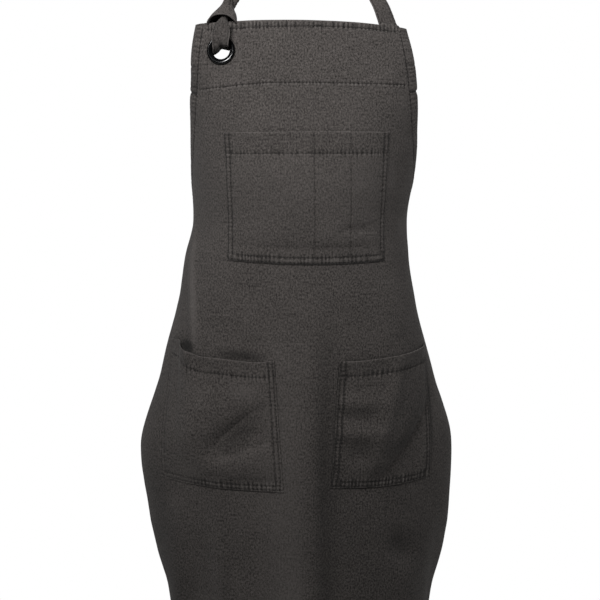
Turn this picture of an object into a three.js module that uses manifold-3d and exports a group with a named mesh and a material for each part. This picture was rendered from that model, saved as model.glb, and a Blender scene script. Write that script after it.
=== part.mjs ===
// Denim bib apron with a neck strap and waist ties, in the form it takes when worn.
// Millimetres, +Z up, front towards -Y. The origin is where the neck strap rests on the nape.
//
// Cloth pieces are drawn on the flat cut, as u across and v down from the bib's top edge,
// and carried onto the draped form by arc length, so each keeps its flat size.

import * as THREE from "three";
import { mergeVertices } from "three/addons/utils/BufferGeometryUtils.js";
import Module from "manifold-3d";

const wasm = await Module();
wasm.setup();

// Sizes of the cut
const APRON_LENGTH = 850;
const BIB_HALF_WIDTH = 157;
const SKIRT_HALF_WIDTH = 305;
const ARMHOLE_DEPTH = 272; // drop of the side corners, where the ties are sewn
const ARMHOLE_SWEEP = 0.985; // share of a quarter ellipse that the armhole curve follows
const FACING_DEPTH = 80;
const SIDE_HEM = 15;
const BOTTOM_HEM = 25;

// Cloth and webbing
const CLOTH = 1.2;
const HEM_CLOTH = 2.4;
const SEAM_GAP = 0.5;
const STRAP_WIDTH = 25;
const STRAP_CLOTH = 1.8;

// Place of the draped form
const BIB_TOP_Z = -150;
const PLAN_AXIS_Y = -75;
const SQUARENESS = 2.08; // exponent of the level sections, 2 being an ellipse
const CORNER_DROOP = 6; // how far the bib's free corners hang below its middle
const DROOP_FADE = 60;

// Levels of the draped form: half-widths left and right, and depth in front of the plan axis.
const LEVELS = [
  { drop: 0, left: 150, right: 150, depth: 104 },
  { drop: 60, left: 153, right: 157, depth: 112 },
  { drop: 140, left: 147, right: 152, depth: 119 },
  { drop: 200, left: 143, right: 144, depth: 118 },
  { drop: 250, left: 141, right: 136, depth: 114 },
  { drop: 300, left: 152, right: 138.5, depth: 114 },
  { drop: 360, left: 163, right: 148.5, depth: 117 },
  { drop: 450, left: 185, right: 171, depth: 122 },
  { drop: 545, left: 211, right: 196, depth: 124 },
  { drop: 620, left: 203, right: 193.5, depth: 122 },
  { drop: 680, left: 191, right: 186, depth: 119 },
  { drop: 735, left: 175, right: 173, depth: 116 },
  { drop: 850, left: 160, right: 160, depth: 110 },
];

// Soft folds of the panel: a ridge, or a dent where the rise is negative, from one flat point to another.
const FOLDS = [
  { fromU: -70, fromV: 610, toU: -88, toV: 850, spread: 26, rise: 6 },
  { fromU: -112, fromV: 590, toU: -132, toV: 850, spread: 22, rise: -5 },
  { fromU: -165, fromV: 600, toU: -185, toV: 850, spread: 24, rise: 5 },
  { fromU: 8, fromV: 470, toU: 14, toV: 850, spread: 30, rise: 5 },
  { fromU: 62, fromV: 610, toU: 72, toV: 850, spread: 28, rise: -6 },
  { fromU: 128, fromV: 600, toU: 146, toV: 850, spread: 26, rise: 6 },
  { fromU: 196, fromV: 580, toU: 214, toV: 850, spread: 24, rise: -5 },
  { fromU: 128, fromV: 110, toU: 140, toV: 330, spread: 12, rise: -3 },
  { fromU: -168, fromV: 300, toU: -160, toV: 390, spread: 12, rise: 3 },
];

// Patch pockets on the flat cut, each corner as u and v. The mouth gapes most at gapeAt, from 0 left to 1 right.
const POCKETS = [
  {
    name: "chest_pocket",
    mouthLeft: [-101, 145],
    mouthRight: [115, 142],
    baseLeft: [-95, 299],
    baseRight: [113, 301],
    mouthSag: 0,
    baseBow: 4,
    gape: 2,
    gapeAt: 0.35,
    mouthHem: 23,
    columns: 12,
    rows: 9,
  },
  {
    name: "hip_pocket_left",
    mouthLeft: [-192, 399],
    mouthRight: [-34, 423],
    baseLeft: [-194, 577],
    baseRight: [-22, 586.5],
    mouthSag: 7,
    baseBow: 3,
    gape: 17,
    gapeAt: 0.3,
    mouthHem: 19,
    columns: 12,
    rows: 10,
  },
  {
    name: "hip_pocket_right",
    mouthLeft: [46, 424],
    mouthRight: [195, 408.5],
    baseLeft: [36, 583.5],
    baseRight: [175, 575],
    mouthSag: 3,
    baseBow: 4,
    gape: 12,
    gapeAt: 0.5,
    mouthHem: 19,
    columns: 12,
    rows: 10,
  },
];

// Eyelet in the bib's left corner
const EYELET = { u: -106, v: 40, bore: 11, barrel: 12, flange: 18.3, dome: 2.6, seat: 0.3 };
const EYELET_HOLE = EYELET.barrel + 0.4;
const EYELET_SIDES = 24;
const FLAT_SPOT = 30; // radius around the eyelet that its rigid ring holds flat
const FLAT_FADE = 24;

// Neck strap: where it is sewn, its way round the neck on the right side, and its loop through the eyelet.
const STRAP_SEWN = { u: 113, from: 30, to: -2 };
const NECK_ROUTE = [
  { x: 96, y: -144, z: -126, nx: 0.35, ny: -0.9, nz: 0.25 },
  { x: 81, y: -108, z: -66, nx: 0.6, ny: -0.6, nz: 0.5 },
  { x: 68, y: -66, z: -24, nx: 0.85, ny: -0.1, nz: 0.4 },
  { x: 45, y: -20, z: -5, nx: 0.65, ny: 0.72, nz: 0.15 },
];
const EYELET_ROUTE = [
  { u: -94.2, v: -30, off: -3, faces: "front", width: 12, curl: -90 },
  { u: -100.5, v: -8, off: -6, faces: "front", width: 18, curl: -25 },
  { u: -104, v: 10, off: -7, faces: "front", width: 23, curl: 0 },
  { u: -106, v: 23, off: -9.5, faces: "front", width: 21, curl: -40 },
  { u: -106, v: 30.5, off: -5.5, faces: "up", width: 19, curl: -75 },
  { u: -106, v: 31, off: 1.5, faces: "up", width: 19, curl: -75 },
  { u: -106, v: 24, off: 6.8, faces: "back", width: 21, curl: -40 },
  { u: -106, v: 12, off: 5.2, faces: "back", width: 23, curl: 12 },
  { u: -104, v: -3, off: 5.5, faces: "back", width: 18, curl: 45 },
  { u: -102, v: -13, off: 2.5, faces: "back", width: 11, curl: 70 },
];
const STRAP_STEP = 14;
const STRAP_COLUMNS = 5;

// Knot that gathers the strap above the eyelet: a turn of the strap, tight above and flared below.
const KNOT = {
  low: { u: -103.5, v: -1, off: -1.5, halfWidth: 17.5, halfDepth: 12 },
  high: { u: -95, v: -26, off: -5.5, halfWidth: 8.2, halfDepth: 10 },
  arch: 10, // how far its front edge is lifted
  skirt: 4, // how far its back edge falls
  squareness: 3,
  columns: 24,
  rows: 5,
};
const KNOT_TAIL = [
  { u: -93, v: -14, off: -14, faces: "front", width: 12, curl: 0 },
  { u: -88, v: -26, off: -14, faces: "front", width: 12, curl: -20 },
  { u: -76, v: -42, off: -15, faces: "front", width: 16, curl: -12 },
  { u: -66, v: -56, off: -18, faces: "front", width: 20, curl: -6 },
];

// Waist ties and their knot at the back
const TIE_OVERLAP = 22;
const TIE_STEPS = 19;
const TIE_GAP = 1.2;
const TIE_KNOT = { halfWidth: 17, halfDepth: 9, halfHeight: 15, sides: 16 };
const TIE_TAIL = { length: 230, splay: 34, sway: 7, steps: 12, width: 24 };
const TIE_KNOT_GAP = 0.4;

const DENIM = new THREE.MeshStandardMaterial({ color: 0x45413e, roughness: 0.95, metalness: 0 });
const GUNMETAL = new THREE.MeshStandardMaterial({ color: 0x0e0e10, roughness: 0.22, metalness: 0.9 });

// Smooth curve through one column of a table, with no overshoot between its rows.
function columnAt(rows, column, drop) {
  const at = THREE.MathUtils.clamp(drop, rows[0].drop, rows[rows.length - 1].drop);
  let i = rows.findIndex((row) => row.drop >= at) - 1;
  i = Math.max(i, 0);
  const span = (k) => rows[k + 1].drop - rows[k].drop;
  const slope = (k) => (rows[k + 1][column] - rows[k][column]) / span(k);
  const tangent = (k) => {
    if (k === 0) return slope(0);
    if (k === rows.length - 1) return slope(k - 1);
    const before = slope(k - 1);
    const after = slope(k);
    if (before * after <= 0) return 0;
    const nearer = 2 * span(k) + span(k - 1);
    const further = span(k) + 2 * span(k - 1);
    return (nearer + further) / (nearer / before + further / after);
  };
  const t = (at - rows[i].drop) / span(i);
  const back = 1 - t;
  return (
    (1 + 2 * t) * back * back * rows[i][column] +
    t * back * back * span(i) * tangent(i) +
    t * t * (3 - 2 * t) * rows[i + 1][column] -
    t * t * back * span(i) * tangent(i + 1)
  );
}

// Half-width of the flat cut at a drop: a J-shaped armhole, then a straight side.
function cutHalfWidth(v) {
  const sweep = (share) => 1 - Math.sqrt(1 - (share * ARMHOLE_SWEEP) ** 2);
  const share = THREE.MathUtils.clamp(v / ARMHOLE_DEPTH, 0, 1);
  return BIB_HALF_WIDTH + ((SKIRT_HALF_WIDTH - BIB_HALF_WIDTH) * sweep(share)) / sweep(1);
}

// Level section of one side, from the middle of the front round to the middle of the back.
const SECTION_STEPS = 360;
const sections = new Map();
function sectionAt(v, side) {
  const key = `${side} ${v}`;
  if (!sections.has(key)) {
    const halfWidth = columnAt(LEVELS, side < 0 ? "left" : "right", v);
    const depth = columnAt(LEVELS, "depth", v);
    const power = 2 / SQUARENESS;
    const xs = [];
    const ys = [];
    const arcs = [0];
    for (let k = 0; k <= SECTION_STEPS; k++) {
      const turn = (Math.PI * k) / SECTION_STEPS;
      xs.push(halfWidth * Math.abs(Math.sin(turn)) ** power);
      ys.push(depth * Math.sign(Math.cos(turn)) * Math.abs(Math.cos(turn)) ** power);
      if (k > 0) arcs.push(arcs[k - 1] + Math.hypot(xs[k] - xs[k - 1], ys[k] - ys[k - 1]));
    }
    sections.set(key, { xs, ys, arcs });
  }
  return sections.get(key);
}

// Point of the smooth form at arc length u from the middle and drop v.
function formPoint(u, v) {
  const side = u < 0 ? -1 : 1;
  const { xs, ys, arcs } = sectionAt(v, side);
  const along = Math.min(Math.abs(u), arcs[SECTION_STEPS]);
  let low = 0;
  let high = SECTION_STEPS;
  while (high - low > 1) {
    const middle = (low + high) >> 1;
    if (arcs[middle] <= along) low = middle;
    else high = middle;
  }
  const share = (along - arcs[low]) / (arcs[high] - arcs[low]);
  const x = side * THREE.MathUtils.lerp(xs[low], xs[high], share);
  const y = PLAN_AXIS_Y - THREE.MathUtils.lerp(ys[low], ys[high], share);
  const droop = CORNER_DROOP * (u / BIB_HALF_WIDTH) ** 2 * Math.exp(-Math.max(v, 0) / DROOP_FADE);
  return new THREE.Vector3(x, y, BIB_TOP_Z - v - (Math.abs(u) <= SKIRT_HALF_WIDTH ? droop : 0));
}

// Outward normal of a surface given as a function of u and v.
const PROBE = 2;
function normalOf(surface, u, v) {
  const across = surface(u + PROBE, v).sub(surface(u - PROBE, v));
  const down = surface(u, v + PROBE).sub(surface(u, v - PROBE));
  return down.cross(across).normalize();
}

// Height of the folds at a flat point.
function foldRise(u, v) {
  let rise = 0;
  for (const fold of FOLDS) {
    const alongU = fold.toU - fold.fromU;
    const alongV = fold.toV - fold.fromV;
    const length = Math.hypot(alongU, alongV);
    const along = ((u - fold.fromU) * alongU + (v - fold.fromV) * alongV) / length / length;
    const aside = ((u - fold.fromU) * alongV - (v - fold.fromV) * alongU) / length;
    const fade = THREE.MathUtils.smoothstep(along, -0.1, 0.5);
    const stop = fold.toV < APRON_LENGTH ? 1 - THREE.MathUtils.smoothstep(along, 0.6, 1.1) : 1;
    rise += fold.rise * fade * stop * Math.exp(-((aside / fold.spread) ** 2));
  }
  return rise;
}

const eyeletCentre = formPoint(EYELET.u, EYELET.v);
const eyeletNormal = normalOf(formPoint, EYELET.u, EYELET.v);

// Point of the draped panel's face, with its folds and the flat spot under the eyelet.
function drapePoint(u, v) {
  const point = formPoint(u, v);
  const rise = foldRise(u, v);
  if (Math.abs(rise) > 1e-3) point.addScaledVector(normalOf(formPoint, u, v), rise);
  const away = Math.hypot(u - EYELET.u, v - EYELET.v);
  const hold = 1 - THREE.MathUtils.smoothstep(away, FLAT_SPOT, FLAT_SPOT + FLAT_FADE);
  const height = point.clone().sub(eyeletCentre).dot(eyeletNormal);
  return point.addScaledVector(eyeletNormal, -height * hold);
}

// Point at a height off the panel's face, outwards being positive.
function onPanel(u, v, off) {
  return drapePoint(u, v).addScaledVector(normalOf(drapePoint, u, v), off);
}

// Closed wall between two skins of points, skin[row][column], whose outer side faces row cross column.
// A looped wall joins its last column to its first.
function wallGeometry(outer, inner, looped = false) {
  const rows = outer.length;
  const columns = outer[0].length;
  const last = columns - 1;
  const index = [];
  const front = (r, c) => r * columns + (c % columns);
  const back = (r, c) => rows * columns + front(r, c);
  const quad = (a, b, c, d) => index.push(a, b, c, a, c, d);
  const spans = looped ? columns : last;
  for (let r = 0; r + 1 < rows; r++) {
    for (let c = 0; c < spans; c++) {
      quad(front(r, c), front(r + 1, c), front(r + 1, c + 1), front(r, c + 1));
      quad(back(r, c), back(r, c + 1), back(r + 1, c + 1), back(r + 1, c));
    }
    if (!looped) {
      quad(front(r + 1, 0), front(r, 0), back(r, 0), back(r + 1, 0));
      quad(front(r, last), front(r + 1, last), back(r + 1, last), back(r, last));
    }
  }
  for (let c = 0; c < spans; c++) {
    quad(front(0, c), front(0, c + 1), back(0, c + 1), back(0, c));
    quad(front(rows - 1, c + 1), front(rows - 1, c), back(rows - 1, c), back(rows - 1, c + 1));
  }
  const points = [...outer.flat(), ...inner.flat()];
  const geometry = new THREE.BufferGeometry().setFromPoints(points);
  geometry.setIndex(index);
  return geometry;
}

// Both skins of a wall from one function of row and column that gives [outer, inner].
function wallFrom(rows, columns, pair, looped = false) {
  const grid = Array.from({ length: rows }, (_, r) =>
    Array.from({ length: columns }, (_, c) => pair(r, c)),
  );
  const skin = (k) => grid.map((row) => row.map((both) => both[k]));
  return wallGeometry(skin(0), skin(1), looped);
}

// Joins and cuts
function toSolid(geometry) {
  const bare = geometry.clone();
  bare.deleteAttribute("normal");
  bare.deleteAttribute("uv");
  const merged = mergeVertices(bare, 1e-4);
  return new wasm.Manifold(
    new wasm.Mesh({
      numProp: 3,
      vertProperties: merged.attributes.position.array,
      triVerts: new Uint32Array(merged.index.array),
    }),
  );
}

function fromSolid(solid) {
  const mesh = solid.getMesh();
  const geometry = new THREE.BufferGeometry();
  geometry.setAttribute("position", new THREE.BufferAttribute(mesh.vertProperties, 3));
  geometry.setIndex(new THREE.BufferAttribute(mesh.triVerts, 1));
  return geometry;
}

// Turns a shape made along +Y so that it stands on the eyelet's seat, +Y pointing out of the bib.
const eyeletPlace = new THREE.Matrix4().compose(
  eyeletCentre,
  new THREE.Quaternion().setFromUnitVectors(new THREE.Vector3(0, 1, 0), eyeletNormal),
  new THREE.Vector3(1, 1, 1),
);

function eyeletCutter() {
  const depth = 30;
  return new THREE.CylinderGeometry(EYELET_HOLE, EYELET_HOLE, depth, EYELET_SIDES).applyMatrix4(eyeletPlace);
}

function cutForEyelet(geometry) {
  return fromSolid(toSolid(geometry).subtract(toSolid(eyeletCutter())));
}

// Evenly spaced numbers from one value to another, both included.
function spread(from, to, count) {
  return Array.from({ length: count }, (_, k) => from + ((to - from) * k) / (count - 1));
}

// Grid of the panel: its drops, and its places across at a drop, with a step at each hem.
const HEM_STEP = 2;
const HEM_TOP = APRON_LENGTH - BOTTOM_HEM;
const PANEL_DROPS = [
  ...spread(0, FACING_DEPTH, 9),
  ...spread(0.3, 1, 9).map((share) => ARMHOLE_DEPTH * Math.sin((share * Math.PI) / 2)),
  ...spread(ARMHOLE_DEPTH, HEM_TOP - HEM_STEP, 17).slice(1),
  HEM_TOP,
  APRON_LENGTH,
];
const PANEL_SHARES = spread(-1, 1, 27);
function panelAcross(v) {
  const half = cutHalfWidth(v);
  const hemmed = half - SIDE_HEM;
  const open = PANEL_SHARES.map((share) => share * (hemmed - HEM_STEP));
  return [-half, -hemmed, ...open, hemmed, half];
}

// The panel: its side and bottom edges are turned to the back and so are thicker.
function panelGeometry() {
  const columns = PANEL_SHARES.length + 4;
  const geometry = wallFrom(PANEL_DROPS.length, columns, (r, c) => {
    const v = PANEL_DROPS[r];
    const u = panelAcross(v)[c];
    const hemmed = c < 2 || c > columns - 3 || v >= HEM_TOP;
    return [onPanel(u, v, 0), onPanel(u, v, -(hemmed ? HEM_CLOTH : CLOTH))];
  });
  return cutForEyelet(geometry);
}

// Deep facing behind the bib's top edge, on the panel's own grid between the side hems.
function facingGeometry() {
  const drops = PANEL_DROPS.filter((v) => v <= FACING_DEPTH);
  const margin = 3; // columns left to each hem
  const outerOff = -(CLOTH + SEAM_GAP);
  const columns = PANEL_SHARES.length + 4 - 2 * margin;
  const geometry = wallFrom(drops.length, columns, (r, c) => {
    const u = panelAcross(drops[r])[c + margin];
    return [onPanel(u, drops[r], outerOff), onPanel(u, drops[r], outerOff - CLOTH)];
  });
  return cutForEyelet(geometry);
}

// Flat place of a pocket's point, s across from 0 to 1 and r down from the mouth to the base.
function pocketFlat(pocket, s, r) {
  const mix = (k) =>
    THREE.MathUtils.lerp(
      THREE.MathUtils.lerp(pocket.mouthLeft[k], pocket.mouthRight[k], s),
      THREE.MathUtils.lerp(pocket.baseLeft[k], pocket.baseRight[k], s),
      r,
    );
  const belly = Math.sin(Math.PI * s);
  return { u: mix(0), v: mix(1) + belly * (pocket.mouthSag * (1 - r) + pocket.baseBow * r) };
}

// Height of a pocket off the panel: sewn down at its sides and base, and slack at its mouth.
function pocketOff(pocket, s, r) {
  const skew = Math.log(0.5) / Math.log(pocket.gapeAt);
  const slack = Math.sin(Math.PI * s ** skew) ** 1.3;
  return SEAM_GAP + pocket.gape * slack * (1 - r) ** 1.4;
}

function pocketGeometry(pocket) {
  const depth = pocket.baseLeft[1] - pocket.mouthLeft[1];
  const hemShare = pocket.mouthHem / depth;
  const shares = spread(0, 1, pocket.columns + 1);
  const drops = [0, hemShare, ...spread(hemShare + HEM_STEP / depth, 1, pocket.rows)];
  return wallFrom(drops.length, shares.length, (r, c) => {
    const { u, v } = pocketFlat(pocket, shares[c], drops[r]);
    const off = pocketOff(pocket, shares[c], drops[r]);
    const wall = r < 2 ? HEM_CLOTH : CLOTH;
    return [onPanel(u, v, off + wall), onPanel(u, v, off)];
  });
}

// Eyelet: a domed flange with its barrel in one piece, and a washer behind the cloth.
function eyeletRingGeometry() {
  const { bore, barrel, flange, dome, seat } = EYELET;
  const back = -(2 * CLOTH + SEAM_GAP + 3);
  const middle = (bore + flange) / 2;
  const reach = (flange - bore) / 2;
  const lip = spread(0, Math.PI, 9).map(
    (turn) => new THREE.Vector2(middle + reach * Math.cos(turn), seat + dome * Math.sin(turn)),
  );
  const profile = [
    new THREE.Vector2(barrel, back),
    new THREE.Vector2(barrel, seat),
    ...lip,
    new THREE.Vector2(bore, back),
    new THREE.Vector2(barrel, back),
  ];
  return new THREE.LatheGeometry(profile, EYELET_SIDES).applyMatrix4(eyeletPlace);
}

function eyeletWasherGeometry() {
  const top = -(2 * CLOTH + SEAM_GAP + EYELET.seat);
  const thick = 1.4;
  const inside = EYELET.barrel + 0.3;
  const outside = EYELET.flange - 0.8;
  const rim = 0.6;
  const profile = [
    new THREE.Vector2(inside, top - thick),
    new THREE.Vector2(outside - rim, top - thick),
    new THREE.Vector2(outside, top - thick + rim),
    new THREE.Vector2(outside, top),
    new THREE.Vector2(inside, top),
    new THREE.Vector2(inside, top - thick),
  ];
  return new THREE.LatheGeometry(profile, EYELET_SIDES).applyMatrix4(eyeletPlace);
}

// A station of a ribbon: its middle, the way its face looks, its width and how far it is curled, in degrees.
function panelStation({ u, v, off, faces, width, curl }) {
  const out = normalOf(drapePoint, u, v);
  const up = drapePoint(u, v - PROBE).sub(drapePoint(u, v + PROBE)).normalize();
  const looks = { front: out, back: out.clone().negate(), up };
  return { point: onPanel(u, v, off), face: looks[faces], width, curl };
}

function neckStation({ x, y, z, nx, ny, nz }, side) {
  return {
    point: new THREE.Vector3(side * x, y, z),
    face: new THREE.Vector3(side * nx, ny, nz).normalize(),
    width: STRAP_WIDTH,
    curl: 0,
  };
}

// Flat ribbon through stations, curled across its width where they say so.
function ribbonGeometry(stations, step, thickness) {
  const curve = new THREE.CatmullRomCurve3(
    stations.map((station) => station.point),
    false,
    "centripetal",
  );
  const places = [];
  for (let k = 0; k + 1 < stations.length; k++) {
    const gap = stations[k].point.distanceTo(stations[k + 1].point);
    const pieces = Math.max(3, Math.round(gap / step));
    for (let p = 0; p < pieces; p++) places.push(k + p / pieces);
  }
  places.push(stations.length - 1);
  return wallFrom(places.length, STRAP_COLUMNS, (r, c) => {
    const k = Math.min(Math.floor(places[r]), stations.length - 2);
    const share = places[r] - k;
    const [a, b] = [stations[k], stations[k + 1]];
    const middle = curve.getPoint(places[r] / (stations.length - 1));
    const along = curve.getTangent(places[r] / (stations.length - 1));
    const face = a.face.clone().lerp(b.face, share);
    face.addScaledVector(along, -face.dot(along)).normalize();
    const aside = face.clone().cross(along);
    const width = THREE.MathUtils.lerp(a.width, b.width, share);
    const curl = THREE.MathUtils.degToRad(THREE.MathUtils.lerp(a.curl, b.curl, share));
    const across = (2 * c) / (STRAP_COLUMNS - 1) - 1;
    const bend = Math.abs(curl) < 1e-3 ? 1e-3 : curl;
    const radius = width / 2 / bend;
    const turn = across * bend;
    const spot = middle
      .clone()
      .addScaledVector(aside, radius * Math.sin(turn))
      .addScaledVector(face, radius * (1 - Math.cos(turn)));
    const normal = face.clone().multiplyScalar(Math.cos(turn)).addScaledVector(aside, -Math.sin(turn));
    return [
      spot.clone().addScaledVector(normal, thickness / 2),
      spot.clone().addScaledVector(normal, -thickness / 2),
    ];
  });
}

// Neck strap: sewn behind the bib's right corner, round the neck, through the eyelet and up its own front.
function neckStrapGeometry() {
  const behind = -(2 * CLOTH + 2 * SEAM_GAP + STRAP_CLOTH / 2);
  const sewn = spread(STRAP_SEWN.from, STRAP_SEWN.to, 3).map((v) =>
    panelStation({ u: STRAP_SEWN.u, v, off: behind, faces: "front", width: STRAP_WIDTH, curl: -8 }),
  );
  const nape = {
    point: new THREE.Vector3(0, STRAP_CLOTH / 2, 0),
    face: new THREE.Vector3(0, 1, 0),
    width: STRAP_WIDTH,
    curl: 0,
  };
  const leftRoute = NECK_ROUTE.slice(1).reverse();
  const stations = [
    ...sewn,
    ...NECK_ROUTE.map((row) => neckStation(row, 1)),
    nape,
    ...leftRoute.map((row) => neckStation(row, -1)),
    ...EYELET_ROUTE.map(panelStation),
  ];
  return ribbonGeometry(stations, STRAP_STEP, STRAP_CLOTH);
}

// Knot: a conical turn of the strap round its two strands, with the strap's short tail.
function strapKnotGeometry() {
  const { low, high, arch, skirt, squareness, columns, rows } = KNOT;
  const squared = (x) => Math.sign(x) * Math.abs(x) ** (2 / squareness);
  const mix = (key, share) => THREE.MathUtils.lerp(low[key], high[key], share);
  const turn = wallFrom(
    rows,
    columns,
    (r, c) => {
      const around = (2 * Math.PI * c) / columns;
      const share = 1 - r / (rows - 1);
      const frontness = Math.cos(around);
      const foot = low.v - arch * Math.max(frontness, 0) ** 1.5 + skirt * Math.max(-frontness, 0);
      const v = THREE.MathUtils.lerp(foot, high.v, share);
      const place = (shrink) =>
        onPanel(
          mix("u", share) + (mix("halfWidth", share) - shrink) * squared(Math.sin(around)),
          v,
          mix("off", share) + (mix("halfDepth", share) - shrink) * squared(frontness),
        );
      return [place(0), place(STRAP_CLOTH)];
    },
    true,
  );
  const tail = ribbonGeometry(KNOT_TAIL.map(panelStation), STRAP_STEP, STRAP_CLOTH);
  return fromSolid(toSolid(turn).add(toSolid(tail)));
}

// Waist tie from behind a side corner to the knot at the middle of the back.
const TIE_DROP = ARMHOLE_DEPTH;
const TIE_OFF = -(HEM_CLOTH + TIE_GAP);
function waistTieGeometry(side) {
  const start = cutHalfWidth(TIE_DROP) - TIE_OVERLAP;
  const shares = side < 0 ? spread(1, 0, TIE_STEPS) : spread(0, 1, TIE_STEPS);
  const drops = spread(TIE_DROP - STRAP_WIDTH / 2, TIE_DROP + STRAP_WIDTH / 2, 3);
  const place = (v, share, off) => {
    const reach = sectionAt(v, side).arcs[SECTION_STEPS] - TIE_KNOT.halfWidth - TIE_KNOT_GAP;
    const u = side * THREE.MathUtils.lerp(start, reach, share);
    return formPoint(u, v).addScaledVector(normalOf(formPoint, u, v), off);
  };
  return wallFrom(drops.length, TIE_STEPS, (r, c) => [
    place(drops[r], shares[c], TIE_OFF),
    place(drops[r], shares[c], TIE_OFF - STRAP_CLOTH),
  ]);
}

// Plain knot of the waist ties, with both free ends hanging from it.
function tieKnotGeometry() {
  const { halfWidth, halfDepth, halfHeight, sides } = TIE_KNOT;
  const centre = formPoint(sectionAt(TIE_DROP, 1).arcs[SECTION_STEPS], TIE_DROP);
  centre.y += TIE_OFF;
  const lump = new THREE.SphereGeometry(1, sides, sides / 2)
    .scale(halfWidth, halfDepth, halfHeight)
    .translate(centre.x, centre.y, centre.z);
  let knot = toSolid(lump);
  for (const side of [-1, 1]) {
    const stations = spread(0, 1, 5).map((share) => ({
      point: new THREE.Vector3(
        centre.x + side * (halfWidth / 3 + TIE_TAIL.splay * share),
        centre.y + TIE_TAIL.sway * Math.sin(2 * Math.PI * share) + side,
        centre.z - halfHeight / 2 - TIE_TAIL.length * share,
      ),
      face: new THREE.Vector3(0, 1, 0),
      width: THREE.MathUtils.lerp(halfWidth / 2, TIE_TAIL.width, Math.min(1, 2 * share)),
      curl: 0,
    }));
    const step = TIE_TAIL.length / TIE_TAIL.steps;
    knot = knot.add(toSolid(ribbonGeometry(stations, step, STRAP_CLOTH)));
  }
  return fromSolid(knot);
}

const apron = new THREE.Group();

function addPiece(name, geometry, material) {
  const piece = new THREE.Mesh(geometry, material);
  piece.name = name;
  apron.add(piece);
}

addPiece("apron_panel", panelGeometry(), DENIM);
addPiece("bib_facing", facingGeometry(), DENIM);
for (const pocket of POCKETS) addPiece(pocket.name, pocketGeometry(pocket), DENIM);
addPiece("eyelet_ring", eyeletRingGeometry(), GUNMETAL);
addPiece("eyelet_washer", eyeletWasherGeometry(), GUNMETAL);
addPiece("neck_strap", neckStrapGeometry(), DENIM);
addPiece("strap_knot", strapKnotGeometry(), DENIM);
addPiece("waist_tie_left", waistTieGeometry(-1), DENIM);
addPiece("waist_tie_right", waistTieGeometry(1), DENIM);
addPiece("waist_tie_knot", tieKnotGeometry(), DENIM);

export default apron;
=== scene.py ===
"""Denim bib apron: cloth, seams, eyelet and straps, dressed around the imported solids.

Lengths are millimetres in the tables and functions, and metres in Blender.
Cloth is drawn on the flat cut, as u across and v down from the bib's top edge. It is carried onto the
draped form by arc length, so the weave and the stitches keep their scale.
"""

import math

import bpy
import numpy as np
from bpy.props import FloatProperty, FloatVectorProperty, PointerProperty
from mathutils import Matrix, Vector


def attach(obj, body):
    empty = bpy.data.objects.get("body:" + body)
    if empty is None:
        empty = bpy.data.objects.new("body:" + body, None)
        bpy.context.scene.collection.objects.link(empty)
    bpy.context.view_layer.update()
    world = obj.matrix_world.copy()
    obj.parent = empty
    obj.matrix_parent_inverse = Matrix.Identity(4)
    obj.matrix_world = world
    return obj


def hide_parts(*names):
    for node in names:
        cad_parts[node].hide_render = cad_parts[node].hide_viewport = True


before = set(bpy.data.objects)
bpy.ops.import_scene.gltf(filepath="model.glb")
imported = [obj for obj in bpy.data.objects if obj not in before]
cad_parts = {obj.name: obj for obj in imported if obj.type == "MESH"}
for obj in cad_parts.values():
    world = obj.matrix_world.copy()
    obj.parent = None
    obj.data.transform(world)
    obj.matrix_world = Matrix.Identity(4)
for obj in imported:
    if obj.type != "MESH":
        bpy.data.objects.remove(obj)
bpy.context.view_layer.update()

bl_info = {
    "name": "Denim bib apron",
    "version": (1, 0, 0),
    "blender": (4, 5, 0),
    "location": "3D View > Sidebar > Apron",
    "description": "Sews a denim bib apron in its worn form around its solids",
    "category": "Object",
}

MM = 0.001
BODY = "root"

# Sizes of the cut
APRON_LENGTH = 850
BIB_HALF_WIDTH = 146
SKIRT_HALF_WIDTH = 305
ARMHOLE_DEPTH = 272
ARMHOLE_SWEEP = 0.985
BIB_TAPER = 5.5  # narrowing of each side at the bib's top corners
TAPER_FADE = 28
FACING_DEPTH = 78
FACING_TOP = 1  # drop of the facing's upper edge
FACING_TURN = 4  # the facing goes on this far below its stitches
FACING_INSET = 1.5
ROW_DROOP = 6.6  # fall of the facing's stitches towards their left end
ROW_DROOP_ENDS = (35, 140)  # distances left of the middle between which they fall
SIDE_HEM = 15
TOP_HEM = 7.5
TOP_HEM_SPREAD = 0.3  # share by which the top hem is deeper at its left end
TOP_SPREAD_ENDS = (-40, 110)  # distances left of the middle between which it deepens
TOP_HEM_LAP = 3  # how far it runs in under the side hems
BOTTOM_HEM = 25

# Creases across the side hems: side, drop, depth, notch in the edge
HEM_CREASES = (
    (-1, 55, 0.6, 0),
    (-1, 79, 0.5, 0),
    (-1, 86.5, 1.3, 1.3),
    (1, 50, 0.5, 0),
    (1, 84, 1.2, 1.7),
)
CREASE_WIDTH = 1.3
NOTCH_WIDTH = 3.5
NOTCH_DROP = 1.5  # a notch lies this far below its crease

# Thickness of the cloth, its hems and the straps
CLOTH = 1.2
HEM_CLOTH = 2.6
STRAP_CLOTH = 1.8
STRAP_WIDTH = 25
STRAP_ROW = 2.2  # distance of a strap's stitches from its edges
SEAM_GAP = 0.5

# Place of the draped form
BIB_TOP_Z = -150
PLAN_AXIS_Y = -75
CORNER_DROOP = 7.5
TOP_TILT = 2.3  # the right corner hangs lower than the left one
DROOP_FADE = 60

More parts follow.
